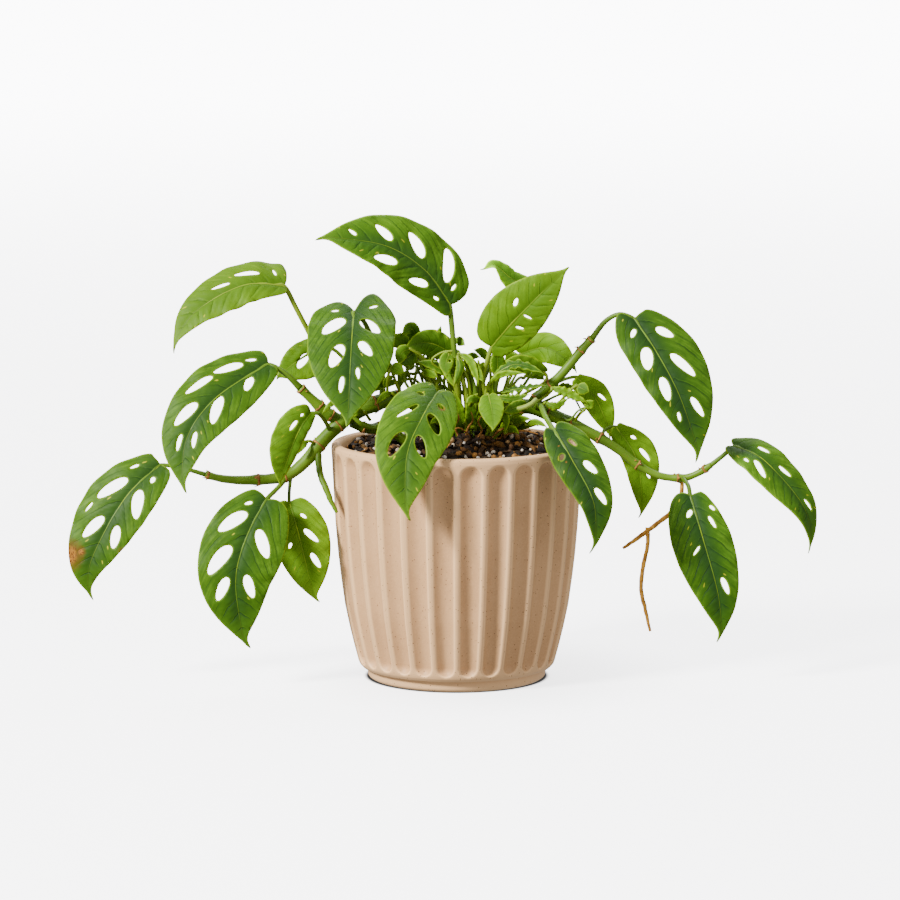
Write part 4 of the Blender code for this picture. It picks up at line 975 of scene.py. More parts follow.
def flat_blade(leaf, grain):
    """Flat points, triangles and the points of the edges of one leaf."""
    outline, holes = leaf_edges(leaf, grain)
    border = np.vstack([outline, *holes])
    edges, start = [], 0
    for loop in (outline, *holes):
        size = len(loop)
        edges += [(start + i, start + (i + 1) % size) for i in range(size)]
        start += size
    grid = grid_points(leaf, grain)
    grid = grid[in_leaf(grid, outline, holes)]
    grid = grid[distance(grid, border) > 0.45 * grain]
    flat = [Vector(row) for row in np.vstack([border, grid]).tolist()]
    result = delaunay_2d_cdt(flat, edges, [], 0, 0.00001)
    flat = np.array([tuple(v) for v in result[0]])
    cells = np.array([tuple(c) for c in result[2]])
    corner = flat[cells]
    one, two = corner[:, 1] - corner[:, 0], corner[:, 2] - corner[:, 0]
    keep = in_leaf(corner.mean(axis=1), outline, holes)
    keep &= np.abs(one[:, 0] * two[:, 1] - one[:, 1] * two[:, 0]) > 1e-4
    cells = cells[keep]
    used = np.unique(cells)
    order = np.zeros(len(flat), dtype=int)
    order[used] = np.arange(len(used))
    return flat[used], order[cells][:, ::-1], border


def blade(leaf, grain):
    """Points, triangles and marks of one leaf blade, as a sheet."""
    flat, cells, border = flat_blade(leaf, grain)
    length = leaf["length"]
    along, across = flat[:, 0], flat[:, 1]
    edge = distance(flat, border)
    count = vein_count(leaf, along, across)
    off = np.abs(count - np.round(count))
    pace = leaf["veins"] * length
    reach = np.abs(across)
    fade = soft_step(edge, 0.0, 5.0) * soft_step(reach, 0.6, 4.0)
    lift = leaf["puff"] * fade * (np.sin(math.pi * np.minimum(off * 2, 1.0)) - 0.5)
    lift -= 0.30 * fade * np.exp(-((off * pace / 1.1) ** 2))
    lift -= 0.55 * np.exp(-((reach / 1.5) ** 2)) * soft_step(length - along, 0, 25)
    lift += 0.35 * np.sin(0.35 * along + 1.3 * np.sign(across)) * soft_step(edge, 6, 0) * 0.6
    place, _, sideways, out = leaf["middle"].at(along)
    height = leaf_height(leaf, along, across) + lift
    hook = HOOK * min(length / 80, 1.0) * (1 if leaf["rib"][-1][0] > 0 else -1)
    bend = leaf.get("hook", hook) * np.clip((along / length - 0.92) / 0.122, 0.0, 1.0) ** 2
    points = place + sideways * (across + bend)[:, None] + out * height[:, None]
    marks = [along, across, edge, count, along / length, reach / max(leaf["wide"])]
    return points, cells, np.stack(marks, axis=1)


def stalk_rows(leaf):
    """Rows of a leaf's stalk, which runs on under the blade as the raised midrib."""
    size = leaf["stalk"][-1][3]
    under = []
    for share in leaf["under"]:
        along = np.array([share * leaf["length"]])
        place, _, _, out = leaf["middle"].at(along)
        radius = max(size * (1 - share * 1.05), 0.35)
        height = leaf_height(leaf, along, np.array([0.0])) - 0.35 - 0.75 * radius
        under.append((*(place[0] + out[0] * height[0]), radius))
    return rows_between([*leaf["stalk"], *under], 6)


# Stems


def sweep(rows, sides):
    """Points, faces and marks of a round stem through rows of x, y, z and radius."""
    rows = np.asarray(rows, dtype=float)
    path, radius = rows[:, :3], rows[:, 3]
    direction = unit(np.gradient(path, axis=0))
    frames = []
    side = unit(np.cross(direction[0], [0.31, 0.82, 0.47]))
    for way in direction:
        side = unit(side - way * np.dot(side, way))
        frames.append((side, np.cross(way, side)))
    length = run(path)
    points, marks = [], []
    for k, (place, (one, two)) in enumerate(zip(path, frames)):
        for i in range(sides):
            angle = 2 * math.pi * i / sides
            points.append(place + radius[k] * (math.cos(angle) * one + math.sin(angle) * two))
            marks.append((length[k], i / sides, k / (len(rows) - 1)))
    faces = ring_faces(len(rows), sides)
    faces.append(tuple(range(sides))[::-1])
    faces.append(tuple(range((len(rows) - 1) * sides, len(rows) * sides)))
    return np.array(points), faces, np.array(marks)


def stem_rows(nodes, rings):
    """Rows of a stem that thickens at its rings, which are given by their x."""
    rows = rows_between(nodes, 10)
    length = run(rows[:, :3])
    wander = ripple(rows[:, 0] * 0.5, rows[:, 1] * 0.5, rows[:, 2] * 0.5, 3.0)
    rows[:, 3] += 0.12 * wander
    marks = []
    for ring in rings:
        k = int(np.argmin(np.abs(rows[:, 0] - ring)))
        marks.append(k)
        rows[:, 3] += 0.5 * np.exp(-(((length - length[k]) / 3.2) ** 2))
    return rows, marks


def heading(rows, k):
    """Where a stem is at one of its rows, how thick it is and which way it goes."""
    before, after = rows[max(k - 1, 0), :3], rows[min(k + 1, len(rows) - 1), :3]
    return rows[k, :3], rows[k, 3], unit(after - before)


def collar(rows, k, rule, wide):
    """A torn papery ring round a stem at one of its rows."""
    place, radius, way = heading(rows, k)
    one = unit(np.cross(way, [0.2, 0.9, 0.35]))
    two = np.cross(way, one)
    sides = 26
    points, marks = [], []
    phase = rule.uniform(0, 6.28)
    for i in range(sides):
        angle = 2 * math.pi * i / sides
        rag = 0.5 + 0.5 * math.sin(2 * angle + phase) * math.cos(5 * angle + 2 * phase)
        ring = (
            (-0.5 * wide, radius + 0.05),
            (-0.1 * wide, radius + 0.25 + 0.15 * rag),
            ((0.05 + 1.6 * rag**4) * wide, radius + 0.20 + 1.1 * rag**4),
            (0.2 * wide, radius - 0.1),
        )
        for along, reach in ring:
            turn = math.cos(angle) * one + math.sin(angle) * two
            points.append(place + way * along + turn * reach)
            marks.append((along, i / sides, rag))
    return np.array(points), ring_faces(sides, 4, closed=True), np.array(marks)


def nub(rows, k, rule, size):
    """A short root stub that leaves a stem."""
    place, radius, way = heading(rows, k)
    angle = rule.uniform(0, 2 * math.pi)
    aim = np.array([math.cos(angle), -0.4 * abs(math.sin(angle)), math.sin(angle)])
    aim = unit(aim - way * np.dot(aim, way))
    bend = unit(aim + 0.6 * way * rule.uniform(-1, 1) + np.array([0, 0, -0.3]))
    start = place + aim * radius * 0.7
    middle = start + aim * size * 0.5
    tip = middle + bend * size * 0.6
    nodes = [(*start, 0.65), (*middle, 0.50), (*tip, 0.22)]
    return sweep(rows_between(nodes, 3), 7)


# Pot


def wall_radius(height):
    """Radius of the plain outer wall at heights."""
    rows = np.array(WALL_PROFILE)
    return np.interp(height, rows[:, 0], rows[:, 1])


def flute(angle, height):
    """Depth of the scooped flute at directions and heights."""
    pitch = 2 * math.pi / FLUTES
    radius = wall_radius(height)
    offset = (angle / pitch) % 1.0 - 0.5
    half = 0.5 * FLUTE_SHARE * pitch * radius
    above = np.maximum(height - (FLUTE_TOP - half), 0.0)
    below = np.maximum(FLUTE_BOTTOM + half - height, 0.0)
    reach = np.hypot(offset * pitch * radius, above + below) / half
    depth = SCOOP * FLUTE_DEPTH * (1 - np.clip(reach, 0, 1) ** 2.0)
    return depth * soft_step(1.0 - reach, 0.0, 0.10)


def lathe(rows, steps, shape=None):
    """Points and faces of a turned surface from rows of height and radius."""
    angle = np.linspace(0, 2 * math.pi, steps, endpoint=False)
    points = []
    for height, radius in rows:
        reach = np.full(steps, float(radius))
        if shape:
            reach = reach - shape(angle, np.full(steps, float(height)))
        level = np.full(steps, height)
        points.append(np.stack([reach * np.sin(angle), -reach * np.cos(angle), level], axis=1))
    return np.vstack(points), ring_faces(len(rows), steps, flip=True)


def pot(surface):
    """The fluted pot with its plain foot, rim and hollow."""
    steps = FLUTES * 18
    heights = [151.5, 151.45, 151.25, 150.9, 150.4, 149.8, 149.0, 148.4, 147.8]
    heights += list(np.arange(147.2, 138.0, -0.6))
    heights += list(np.arange(137.0, 20.0, -4.5))
    heights += list(np.arange(19.0, 9.4, -0.6))
    heights += [9.2, 8.6, 8.0, 7.6, 7.4]
    rim = {151.5: 76.4, 151.45: 77.2, 151.25: 78.0, 150.9: 78.8, 150.4: 79.4, 149.8: 79.8}
    rows = [(h, rim.get(h, float(wall_radius(h)))) for h in heights]
    outer, faces = lathe(rows, steps, flute)
    foot = [(7.4, 60.6), (7.2, 59.6), (6.9, 58.0), (6.6, 57.2)]
    foot += [(6.0, FOOT_RADIUS), (2.8, FOOT_RADIUS)]
    foot += [(1.6, 56.8), (0.9, 56.3), (0.3, 55.4), (0.0, 54.8), (0.0, 30.0), (0.0, 0.4)]
    low, low_faces = lathe(foot, steps // 2)
    inner = [(18.0, 0.4), (18.0, 50.0), (40.0, 62.6), (100.0, 70.2), (140.0, 72.6)]
    inner += [(149.0, 73.3), (150.2, 73.9), (151.0, 74.7), (151.4, 75.6), (151.5, 76.4)]
    hollow, hollow_faces = lathe(inner, steps)
    # How deep each point lies in its flute, for the glaze's painted shade and highlights
    angle = np.arctan2(outer[:, 0], -outer[:, 1])
    scoop = np.zeros_like(outer)
    scoop[:, 0] = flute(angle, outer[:, 2]) / (SCOOP * FLUTE_DEPTH)
    parts = [(outer, faces, scoop), (low, low_faces, 0 * low), (hollow, hollow_faces, 0 * hollow)]
    points, faces, marks = merged(parts)
    piece("pot.wall", points, faces, [surface], "pot", {"scoop": marks})


# Soil


def soil_height(x, y):
    """Level of the rough soil surface."""
    lift = np.sin(x * 0.19 + 1.1) * np.cos(y * 0.17 + 0.4)
    lift += 0.6 * np.sin(x * 0.43 - y * 0.31 + 2.0)
    aside = (x - MOUND_MIDDLE[0]) / MOUND_SPREAD[0]
    ahead = (y - MOUND_MIDDLE[1]) / MOUND_SPREAD[1]
    heap = MOUND * np.exp(-(aside**2) - ahead**2)
    back = 3.0 * soft_step(y, 5.0, 55.0)
    return SOIL_LEVEL + BANK + back + 0.5 * SOIL_LUMP * lift + heap


def chunk(rule, size, kind):
    """Points and triangles of one crumb: an angular chip, a pebble or a white grain."""
    work = bmesh.new()
    if kind == "chip":
        for _ in range(13):
            spot = [rule.uniform(-1, 1) for _ in range(3)]
            bmesh.ops.create_vert(work, co=spot)
        hull = bmesh.ops.convex_hull(work, input=work.verts)
        extra = [v for v in hull["geom_interior"] if isinstance(v, bmesh.types.BMVert)]
        bmesh.ops.delete(work, geom=extra, context="VERTS")
    else:
        bmesh.ops.create_icosphere(work, subdivisions=2, radius=1.0)
        lumpy = 0.22 if kind == "grain" else 0.10
        phase = rule.uniform(0, 50)
        for corner in work.verts:
            x, y, z = corner.co * 2.4
            corner.co *= 1 + lumpy * float(ripple(x + phase, y, z, phase))
    turn = Euler([rule.uniform(0, 6.28) for _ in range(3)])
    if kind == "chip":
        # A chip lies nearly flat
        turn = Euler((rule.gauss(0, 0.35), rule.gauss(0, 0.35), rule.uniform(0, 6.28)))
    turn = turn.to_matrix()
    points = np.array([tuple(turn @ Vector(np.array(v.co) * size)) for v in work.verts])
    faces = [tuple(v.index for v in f.verts) for f in work.faces]
    work.free()
    return points, faces


def crumbs(name, rule, count, kind, sizes, surface, low, high):
    """Many crumbs of one kind spread over the soil by a seeded rule."""
    parts = []
    while len(parts) < count:
        reach = CRUMB_RADIUS * math.sqrt(rule.random())
        angle = rule.uniform(0, 2 * math.pi)
        x, y = reach * math.cos(angle), reach * math.sin(angle)
        big = rule.uniform(*sizes)
        if reach + 0.5 * big > CRUMB_RADIUS + 0.8:
            continue
        size = np.array([big, big * rule.uniform(0.55, 0.9), big * rule.uniform(0.35, 0.6)])
        if kind != "chip":
            size = big * np.array([1.0, rule.uniform(0.8, 1.0), rule.uniform(0.75, 0.95)])
        points, faces = chunk(rule, 0.5 * size, kind)
        points += np.array([x, y, float(soil_height(x, y)) + rule.uniform(low, high)])
        parts.append((points, faces, np.full((len(points), 3), rule.random())))
    points, faces, marks = merged(parts)
    piece(name, points, faces, [surface], "soil", {"tone": marks}, kind != "chip")


def soil(earth, bark, pebble, white):
    """The potting mix: a rough bed with bark, stones and white grains on it."""
    rule = random.Random(SEED)
    rings, steps = 60, 180
    points = [(0.0, 0.0, float(soil_height(0, 0)))]
    for k in range(1, rings + 1):
        reach = BED_RADIUS * k / rings
        for i in range(steps):
            angle = 2 * math.pi * i / steps
            x, y = reach * math.cos(angle), reach * math.sin(angle)
            rough = 0.9 * float(ripple(x * 1.3, y * 1.3, 0.0, 5.0)) + rule.uniform(-0.3, 0.3)
            points.append((x, y, float(soil_height(x, y)) + rough))
    faces = [(0, 1 + i, 1 + (i + 1) % steps) for i in range(steps)]
    faces += ring_faces(rings, steps, start=1, flip=True)
    piece("soil.bed", points, faces, [earth], "soil")
    crumbs("soil.bark", rule, 900, "chip", (3.0, 9.0), bark, -0.4, 2.0)
    crumbs("soil.stones", rule, 260, "stone", (2.0, 4.6), pebble, 0.4, 2.6)
    crumbs("soil.grains", rule, 125, "grain", (1.5, 3.8), white, 0.9, 3.0)


# Surfaces


def leaf_surface(name, look, under=False):
    """Leaf skin: a painted highlight on one side of each side vein and painted shade on the other, darker
    beside the midrib, brighter towards margin and tip.
    """
    made = Surface(name, Specular_IOR_Level=0.13)
    flat = made.mark("leaf")
    along, across, edge = made.parts(flat)
    count, share, wide = made.parts(made.mark("vein"))
    reach = made.size(across)
    wander = made.noise(flat, 0.09, 3.0, 0.6)
    blotch = made.noise(flat, 0.13, 3.0, 0.55)
    mottle = made.noise(flat, 0.05, 4.0, 0.62)
    fine = made.noise(flat, 0.9, 3.0, 0.7)
    turn = made.plus(count, made.line(wander, 0.56, 0.22))
    turn = made.minus(made.maths("FRACT", turn), 0.5)
    off = made.size(turn)
    inset = made.times(made.step(edge, 0.6, 6.0), made.step(blotch, 0.25, 0.62, 0.25, 1.0))
    vein = made.times(made.step(off, 0.01, 0.06, 1.0, 0.0), inset)
    middle = made.maths("DIVIDE", reach, made.line(share, -0.30, 0.50))
    midrib = made.step(middle, 0.5, 0.95, 1.0, 0.0)
    net = made.cells(flat, 0.30, "DISTANCE_TO_EDGE")
    net = made.times(made.step(net, 0.0, 0.11, 1.0, 0.0), 0.16)
    if under:
        shade = made.mix(made.step(mottle, 0.3, 0.7), look["light"], look["mid"])
        shade = made.mix(0.35, shade, look["pale"])
        shade = made.mix(made.times(vein, 0.6), shade, look["rib"])
        shade = made.mix(net, shade, look["mid"])
        shade = made.mix(midrib, shade, look["rib"])
        rough = made.step(fine, 0.2, 0.8, 0.52, 0.68)
        return made.finish(shade, rough, made.line(vein, 0.6, net), 0.35, 0.6)
    shade = made.mix(made.step(mottle, 0.25, 0.75), look["dark"], look["mid"])
    brush = made.noise(made.pair(made.times(count, 4.5), made.times(reach, 0.12)), 1.0, 3.0, 0.6)
    pillow = made.times(made.step(off, 0.02, 0.30, 0.55, 1.0), made.step(wide, 0.12, 0.80))
    veil = made.step(blotch, 0.30, 0.62, 0.30, 1.0)
    veil = made.times(made.step(brush, 0.30, 0.62, 0.45, 1.0), veil)
    shade = made.mix(made.times(made.times(pillow, veil), look["outer"]), shade, look["light"])
    glow = made.times(made.times(pillow, made.step(brush, 0.52, 0.72)), 0.30)
    shade = made.mix(glow, shade, look["pale"])
    # Painted highlight: a pale line along one side of each side vein
    painted_vein_highlight = made.step(made.size(made.plus(turn, 0.10)), 0.0, 0.07, 1.0, 0.0)
    painted_vein_highlight = made.times(painted_vein_highlight, made.times(inset, 0.50))
    shade = made.mix(painted_vein_highlight, shade, look["light"])
    tip = made.times(made.step(share, 0.72, 1.0), look["tip"])
    shade = made.mix(tip, shade, look["light"])
    # Painted shade: darker along the other side of each side vein, as in its crease
    painted_vein_shade = made.times(made.step(turn, -0.05, 0.26, 1.0, 0.0), made.step(turn, -0.12, 0.0))
    painted_vein_shade = made.times(painted_vein_shade, made.step(edge, 1.0, 8.0))
    shade = made.mix(made.times(painted_vein_shade, look["painted_vein_shade"]), shade, look["deep"])
    halo = made.step(reach, 0.5, 11.0, look["halo"], 0.0)
    halo = made.times(halo, made.step(share, 0.55, 1.0, 1.0, 0.35))
    shade = made.mix(halo, shade, look["deep"])
    shade = made.mix(net, shade, look["dark"])
    shade = made.mix(made.step(edge, 0.20, 1.15, look["rim"], 0.0), shade, look["edge"])
    shade = made.mix(made.times(vein, look["line"]), shade, look["vein"])
    shade = made.mix(made.step(middle, 0.8, 3.2, 0.55, 0.0), shade, look["vein"])
    fade = made.step(wander, 0.30, 0.55, 0.6, 1.0)
    fade = made.times(made.step(share, 0.25, 0.85, 1.0, 0.30), fade)
    shade = made.mix(made.times(midrib, fade), shade, look["rib"])
    shade = made.mix(made.times(pinholes(made, count, across, off), look["pins"]), shade, PIN)
    for burn in look["burns"]:
        shade = burned(made, shade, fine, along, across, burn)
    rough = made.step(fine, 0.2, 0.8, look["gloss"], look["gloss"] + 0.10)
    height = made.line(vein, -1.5, made.times(net, -0.6))
    return made.finish(shade, rough, made.plus(height, made.times(fine, 0.16)), 0.25, 0.5)


def pinholes(made, count, across, off):
    """Yellow pinholes: at most one between two side veins, at a distance drawn for each pair."""
    cell = made.pair(made.maths("FLOOR", count), made.maths("SIGN", across))
    dice = made.node("TexWhiteNoise", {"Vector": cell}).outputs["Value"]
    aside = made.times(made.size(made.minus(off, 0.5)), 11.0)
    ring = made.minus(made.size(across), made.line(dice, 4.0, 4.5))
    spot = made.step(made.away(aside, ring), 0.35, 1.05, 1.0, 0.0)
    return made.times(spot, made.step(dice, 0.45, 0.5))


def burned(made, shade, fine, along, across, burn):
    """A leaf's colour with one brown burn in its yellowed ring."""
    far, wide, size, strength = burn
    away = made.away(made.minus(along, far), made.minus(across, wide))
    away = made.plus(away, made.line(fine, 1.1 * size, -0.55 * size))
    scorch = made.step(away, 0.9 * size, 1.7 * size, 0.75 * strength, 0.0)
    core = made.step(away, 0.45 * size, size, strength, 0.0)
    brown = made.mix(made.step(fine, 0.40, 0.58), BURN_DARK, BURN_PALE)
    return made.mix(core, made.mix(scorch, shade, SCORCH), brown)


def leaf_look(share, painted_light_gain, **changes):
    """Colours and strengths from grown at 0 to young at 1, scaled by a brightness factor that paints in
    light and shade.
    """
    out = {"burns": ()}
    for key, (grown_one, young_one) in LEAF_LOOK.items():
        if isinstance(grown_one, tuple):
            pairs = zip(grown_one, young_one)
            out[key] = tuple(painted_light_gain * (a + (b - a) * share) for a, b in pairs)
        else:
            out[key] = grown_one + (young_one - grown_one) * share
    return {**out, **changes}


def stem_surface(name, dark, mid, light, young, flecks):
    """Smooth green skin with faint streaks along the stem and small corky flecks."""
    made = Surface(name, Specular_IOR_Level=0.28)
    far, angle, age = made.parts(made.mark("stem"))
    flat = made.pair(made.times(far, 0.05), angle)
    place = made.place()
    streak = made.noise(made.stretch(flat, (1.0, 14.0, 1.0)), 1.0, 2.0, 0.5)
    patch = made.noise(place, 45.0, 3.0, 0.6)
    fleck = made.cells(made.stretch(place, (1.0, 1.0, 0.6)), 380.0)
    shade = made.mix(made.step(patch, 0.32, 0.66), dark, mid)
    shade = made.mix(made.step(streak, 0.40, 0.75, 0.0, 0.45), shade, light)
    # Lighter towards the young end: partly the young skin's colour, partly painted light
    shade = made.mix(made.step(age, 0.0, 1.0, 0.0, young), shade, light)
    shade = made.mix(made.step(fleck, 0.08, 0.18, flecks, 0.0), shade, FLECK)
    rough = made.step(patch, 0.3, 0.7, 0.42, 0.54)
    return made.finish(shade, rough, streak, 0.12, 0.4)


def husk_surface():
    """Dry papery brown of old sheaths and root stubs."""
    made = Surface("husk", Specular_IOR_Level=0.25)
    place = made.place()
    patch = made.noise(place, 260.0, 4.0, 0.65)
    shade = made.mix(made.step(patch, 0.3, 0.7), HUSK_DARK, HUSK_LIGHT)
    rough = made.step(patch, 0.2, 0.8, 0.7, 0.9)
    return made.finish(shade, rough, patch, 0.3, 0.7)


def root_surface():
    """Wiry aerial root: ochre brown with darker bands."""
    made = Surface("root", Specular_IOR_Level=0.3)
    place = made.place()
    patch = made.noise(place, 220.0, 4.0, 0.65)
    band = made.noise(made.stretch(place, (90.0, 90.0, 420.0)), 1.0, 2.0)
    shade = made.mix(made.step(patch, 0.3, 0.7), ROOT_DARK, ROOT_LIGHT)
    shade = made.mix(made.step(band, 0.55, 0.72, 0.0, 0.45), shade, ROOT_BAND)
    rough = made.step(patch, 0.2, 0.8, 0.62, 0.82)
    return made.finish(shade, rough, made.plus(patch, band), 0.25, 0.7)


def clay_surface():
    """Satin beige stoneware, clouded and speckled, with painted shade darker in the flutes and painted
    highlights paler on their edges.
    """
    made = Surface("stoneware", Specular_IOR_Level=0.28)
    place = made.place()
    depth = made.parts(made.mark("scoop"))[0]
    cloud = made.noise(place, 22.0, 4.0, 0.6)
    grain = made.noise(place, 900.0, 3.0, 0.7)
    shade = made.mix(made.step(cloud, 0.32, 0.70, 0.0, 0.45), CLAY_LIGHT, CLAY_DARK_AND_SHADE)
    # Painted shade: darker down in the flutes
    shade = made.mix(made.step(depth, 0.15, 0.95, 0.0, 0.30), shade, CLAY_DARK_AND_SHADE)
    # Painted highlight: a paler line along the edges of each flute
    painted_edge_highlight = made.step(depth, 0.14, 0.40, 1.0, 0.0)
    painted_edge_highlight = made.times(made.step(depth, 0.0, 0.06, 0.42, 0.85), painted_edge_highlight)
    shade = made.mix(painted_edge_highlight, shade, CLAY_PALE_AND_HIGHLIGHT)
    shade = made.mix(made.step(grain, 0.35, 0.75, 0.0, 0.20), shade, CLAY_PALE_AND_HIGHLIGHT)
    fine = made.cells(place, 400.0)
    pick = made.noise(place, 260.0, 1.0)
    dots = made.times(made.step(fine, 0.09, 0.20, 1.0, 0.0), made.step(pick, 0.42, 0.52))
    shade = made.mix(made.times(dots, 0.85), shade, CLAY_SPECK)
    big = made.cells(place, 130.0)
    pick = made.noise(place, 75.0, 1.0)
    freckles = made.times(made.step(big, 0.035, 0.070, 1.0, 0.0), made.step(pick, 0.50, 0.60))
    shade = made.mix(made.times(freckles, 0.75), shade, CLAY_SPECK)
    rough = made.step(grain, 0.25, 0.8, 0.44, 0.60)
    return made.finish(shade, rough, made.line(dots, -0.7, grain), 0.12, 0.45)


def crumb_surface(name, colours, rough, scale):
    """Crumbs whose colour goes from one to the next by their tone mark."""
    made = Surface(name, Specular_IOR_Level=0.3)
    tone = made.parts(made.mark("tone"))[0]
    place = made.place()
    ramp = made.node("ValToRGB", {"Fac": tone})
    band = ramp.color_ramp
    while len(band.elements) < len(colours):
        band.elements.new(0.5)
    for k, (element, colour) in enumerate(zip(band.elements, colours)):
        element.position = k / (len(colours) - 1)
        element.color = (*colour, 1.0)
    patch = made.noise(place, scale, 4.0, 0.7)
    shade = made.mix(made.step(patch, 0.35, 0.75, 0.65, 0.0), ramp.outputs[0], colours[0])
    rough = made.step(patch, 0.2, 0.8, rough - 0.1, rough + 0.08)
    return made.finish(shade, rough, patch, 0.5, 0.8)


def earth_surface():
    """Dark moist mix below the chips."""
    made = Surface("earth", Specular_IOR_Level=0.3)
    place = made.place()
    patch = made.noise(place, 320.0, 5.0, 0.7)
    shade = made.mix(made.step(patch, 0.3, 0.75), EARTH_DARK, EARTH_LIGHT)
    rough = made.step(patch, 0.2, 0.8, 0.75, 0.95)
    return made.finish(shade, rough, patch, 1.2, 1.0)


# The plant


def leaves(stalk, yellow):
    """Every large leaf with its stalk."""
    for name, row in LEAVES.items():
        leaf = grown(row)
        look = leaf_look(*leaf["tint_and_light"], burns=leaf["burns"])
        skins = [leaf_surface(name + "_top", look), leaf_surface(name + "_under", look, True)]
        leaf_piece(name + ".blade", [blade(leaf, GRAIN)], skins, name, BLADE)
        skin = yellow if leaf["yellow_stalk"] else stalk
        stem_piece(name + ".stalk", [sweep(stalk_rows(leaf), 14)], skin, name)


def vines(stem, husk):
    """The two main stems with rings, torn sheaths and root stubs."""
    rule = random.Random(SEED + 1)
    for name, (parts, rings) in VINES.items():
        skins, husks = [], []
        for nodes, places in zip(parts, rings):
            rows, marks = stem_rows(nodes, places)
            skins.append(sweep(rows, 22))
            for k in marks:
                husks.append(collar(rows, k, rule, rule.uniform(1.4, 2.3)))
                husks.append(nub(rows, max(k - rule.randint(0, 2), 1), rule, rule.uniform(1.2, 3.2)))
        stem_piece(name + ".skin", skins, stem, name)
        stem_piece(name + ".husks", husks, husk, name)


def roots(skins):
    """The hanging roots."""
    for name, (slot, parts) in ROOTS.items():
        stems = []
        for nodes in parts:
            rows = rows_between(nodes, 10)
            rows[:, 0] += 0.35 * ripple(rows[:, 0] * 0.9, rows[:, 1], rows[:, 2] * 0.9, 1.0)
            rows[:, 3] *= 1.25 + 0.14 * ripple(rows[:, 0] * 2, rows[:, 1], rows[:, 2] * 3, 2.0)
            stems.append(sweep(rows, 12))
        stem_piece(name + ".skin", stems, skins[slot], name)


def small_rows(node):
    """Stalk, rib, half width, look and changes of every small leaf that grows from a node."""
    rows = []
    for k, (stalk, rib, half) in enumerate(SPRIGS[node]):
        rows.append((stalk, rib, half, k % 3, {}))
    for stalk, rib, half, look, *changes in TUFTS[node]:
        stalk = photo_places(stalk)
        if node == "crown":
            stalk[0] = rooted(stalk[0], STALK_FOOT)
        changes = {**NARROW, **(changes[0] if changes else {})}
        rows.append((stalk, photo_places(rib), half, look, changes))
    return rows


def thicket(node, skins, stalk):
    """The small leaves and stalks that grow from one stem."""
    groups, stems = [[] for _ in skins], []
    for places, rib, half, look, changes in small_rows(node):
        row = {"stalk": [(*place, SMALL_STALK) for place in places], "rib": rib}
        leaf = grown({**SMALL_LEAF, **row, "wide": (half, half), **changes})
        groups[look].append(blade(leaf, SMALL_GRAIN))
        stems.append(sweep(stalk_rows(leaf), 9))
    for k, group in enumerate(groups):
        if group:
            name = node + ".small_leaves_" + str(k + 1)
            leaf_piece(name, group, skins[k], node, SMALL_BLADE)
    stem_piece(node + ".small_stalks", stems, stalk, node)


def fan(rule, stalk, yellow, husk):
    """Crowded stalk bases, sheaths and torn stubs of the rootstock."""
    stems, husks = ([], []), []
    for k in range(CROWD):
        angle = rule.uniform(0, 2 * math.pi)
        share = math.sqrt(rule.random())
        x = CORE_X + 0.85 * CORE_SIZE[0] * share * math.cos(angle)
        y = CORE_Y + 0.80 * CORE_SIZE[1] * share * math.sin(angle)
        lean = 1.1 * (x - CORE_X) + rule.gauss(0, 9.0)
        deep = 0.7 * (y - CORE_Y) + rule.gauss(0, 6.0)
        rise = rule.uniform(13, 32) * (1.15 - 0.4 * share)
        size = rule.uniform(1.1, 2.5)
        nodes = [
            (x, y, STALK_FOOT, size * 1.25),
            (x + 0.15 * lean, y + 0.15 * deep, STALK_FOOT + 0.5 * rise, size * 1.15),
            (x + 0.5 * lean, y + 0.5 * deep, STALK_FOOT + 0.9 * rise, size * 0.9),
            (x + 1.1 * lean, y + deep, STALK_FOOT + rise, size * 0.4),
        ]
        rows = rows_between(nodes, 6)
        stems[k % 2].append(sweep(rows, 10))
        if k % 3 == 0:
            husks.append(collar(rows, rule.randint(3, 8), rule, rule.uniform(1.0, 2.0)))
            husks.append(nub(rows, rule.randint(2, 8), rule, rule.uniform(3, 6)))
    stem_piece("crown.stalks", stems[0], stalk, "crown")
    stem_piece("crown.sheaths", stems[1], yellow, "crown")
    stem_piece("crown.husks", husks, husk, "crown")


def shoots(skins):
    """Bare shoots and sheaths among the small leaves."""
    for (node, key), rows in SHOOTS.items():
        parts = []
        for row in rows:
            line = photo_places(row, 4)
            if node == "crown":
                line.insert(0, (*rooted(line[0], SHOOT_FOOT), round(1.1 * line[0][3], 3)))
            parts.append(sweep(rows_between(line, 7), 12))
        stem_piece(node + ".shoots_" + key, parts, skins[key], node)


def rootstock(surface):
    """The low oval base all stems leave from."""
    rows = [(151.5, 0.2), (150.8, 0.4), (149.5, 0.66), (147.5, 0.84), (144, 0.98), (138, 1.0)]
    rows = [(height, share * CORE_SIZE[0]) for height, share in rows]
    points, faces = lathe(rows, 48)
    rough = ripple(points[:, 0] * 0.8, points[:, 1] * 0.8, points[:, 2], 4.0)
    points[:, 2] += 0.6 * rough
    points[:, 1] *= CORE_SIZE[1] / CORE_SIZE[0]
    points += np.array([CORE_X, CORE_Y, 0.0])
    piece("crown.base", points, faces, [surface], "crown")


def area_light(name, place, aim, size, power, colour):
    """A soft square light pointed at a place."""
    data = bpy.data.lights.new(name, "AREA")
    data.shape = "SQUARE"
    data.size = size
    data.energy = power
    data.color = colour
    pointed(bpy.data.objects.new(name, data), place, aim)


def pointed(item, place, aim):
    """Stand a light or the camera at a place, looking at another."""
    item.location = place
    item.rotation_mode = "QUATERNION"
    item.rotation_quaternion = (Vector(aim) - Vector(place)).to_track_quat("-Z", "Y")
    bpy.context.scene.collection.objects.link(item)


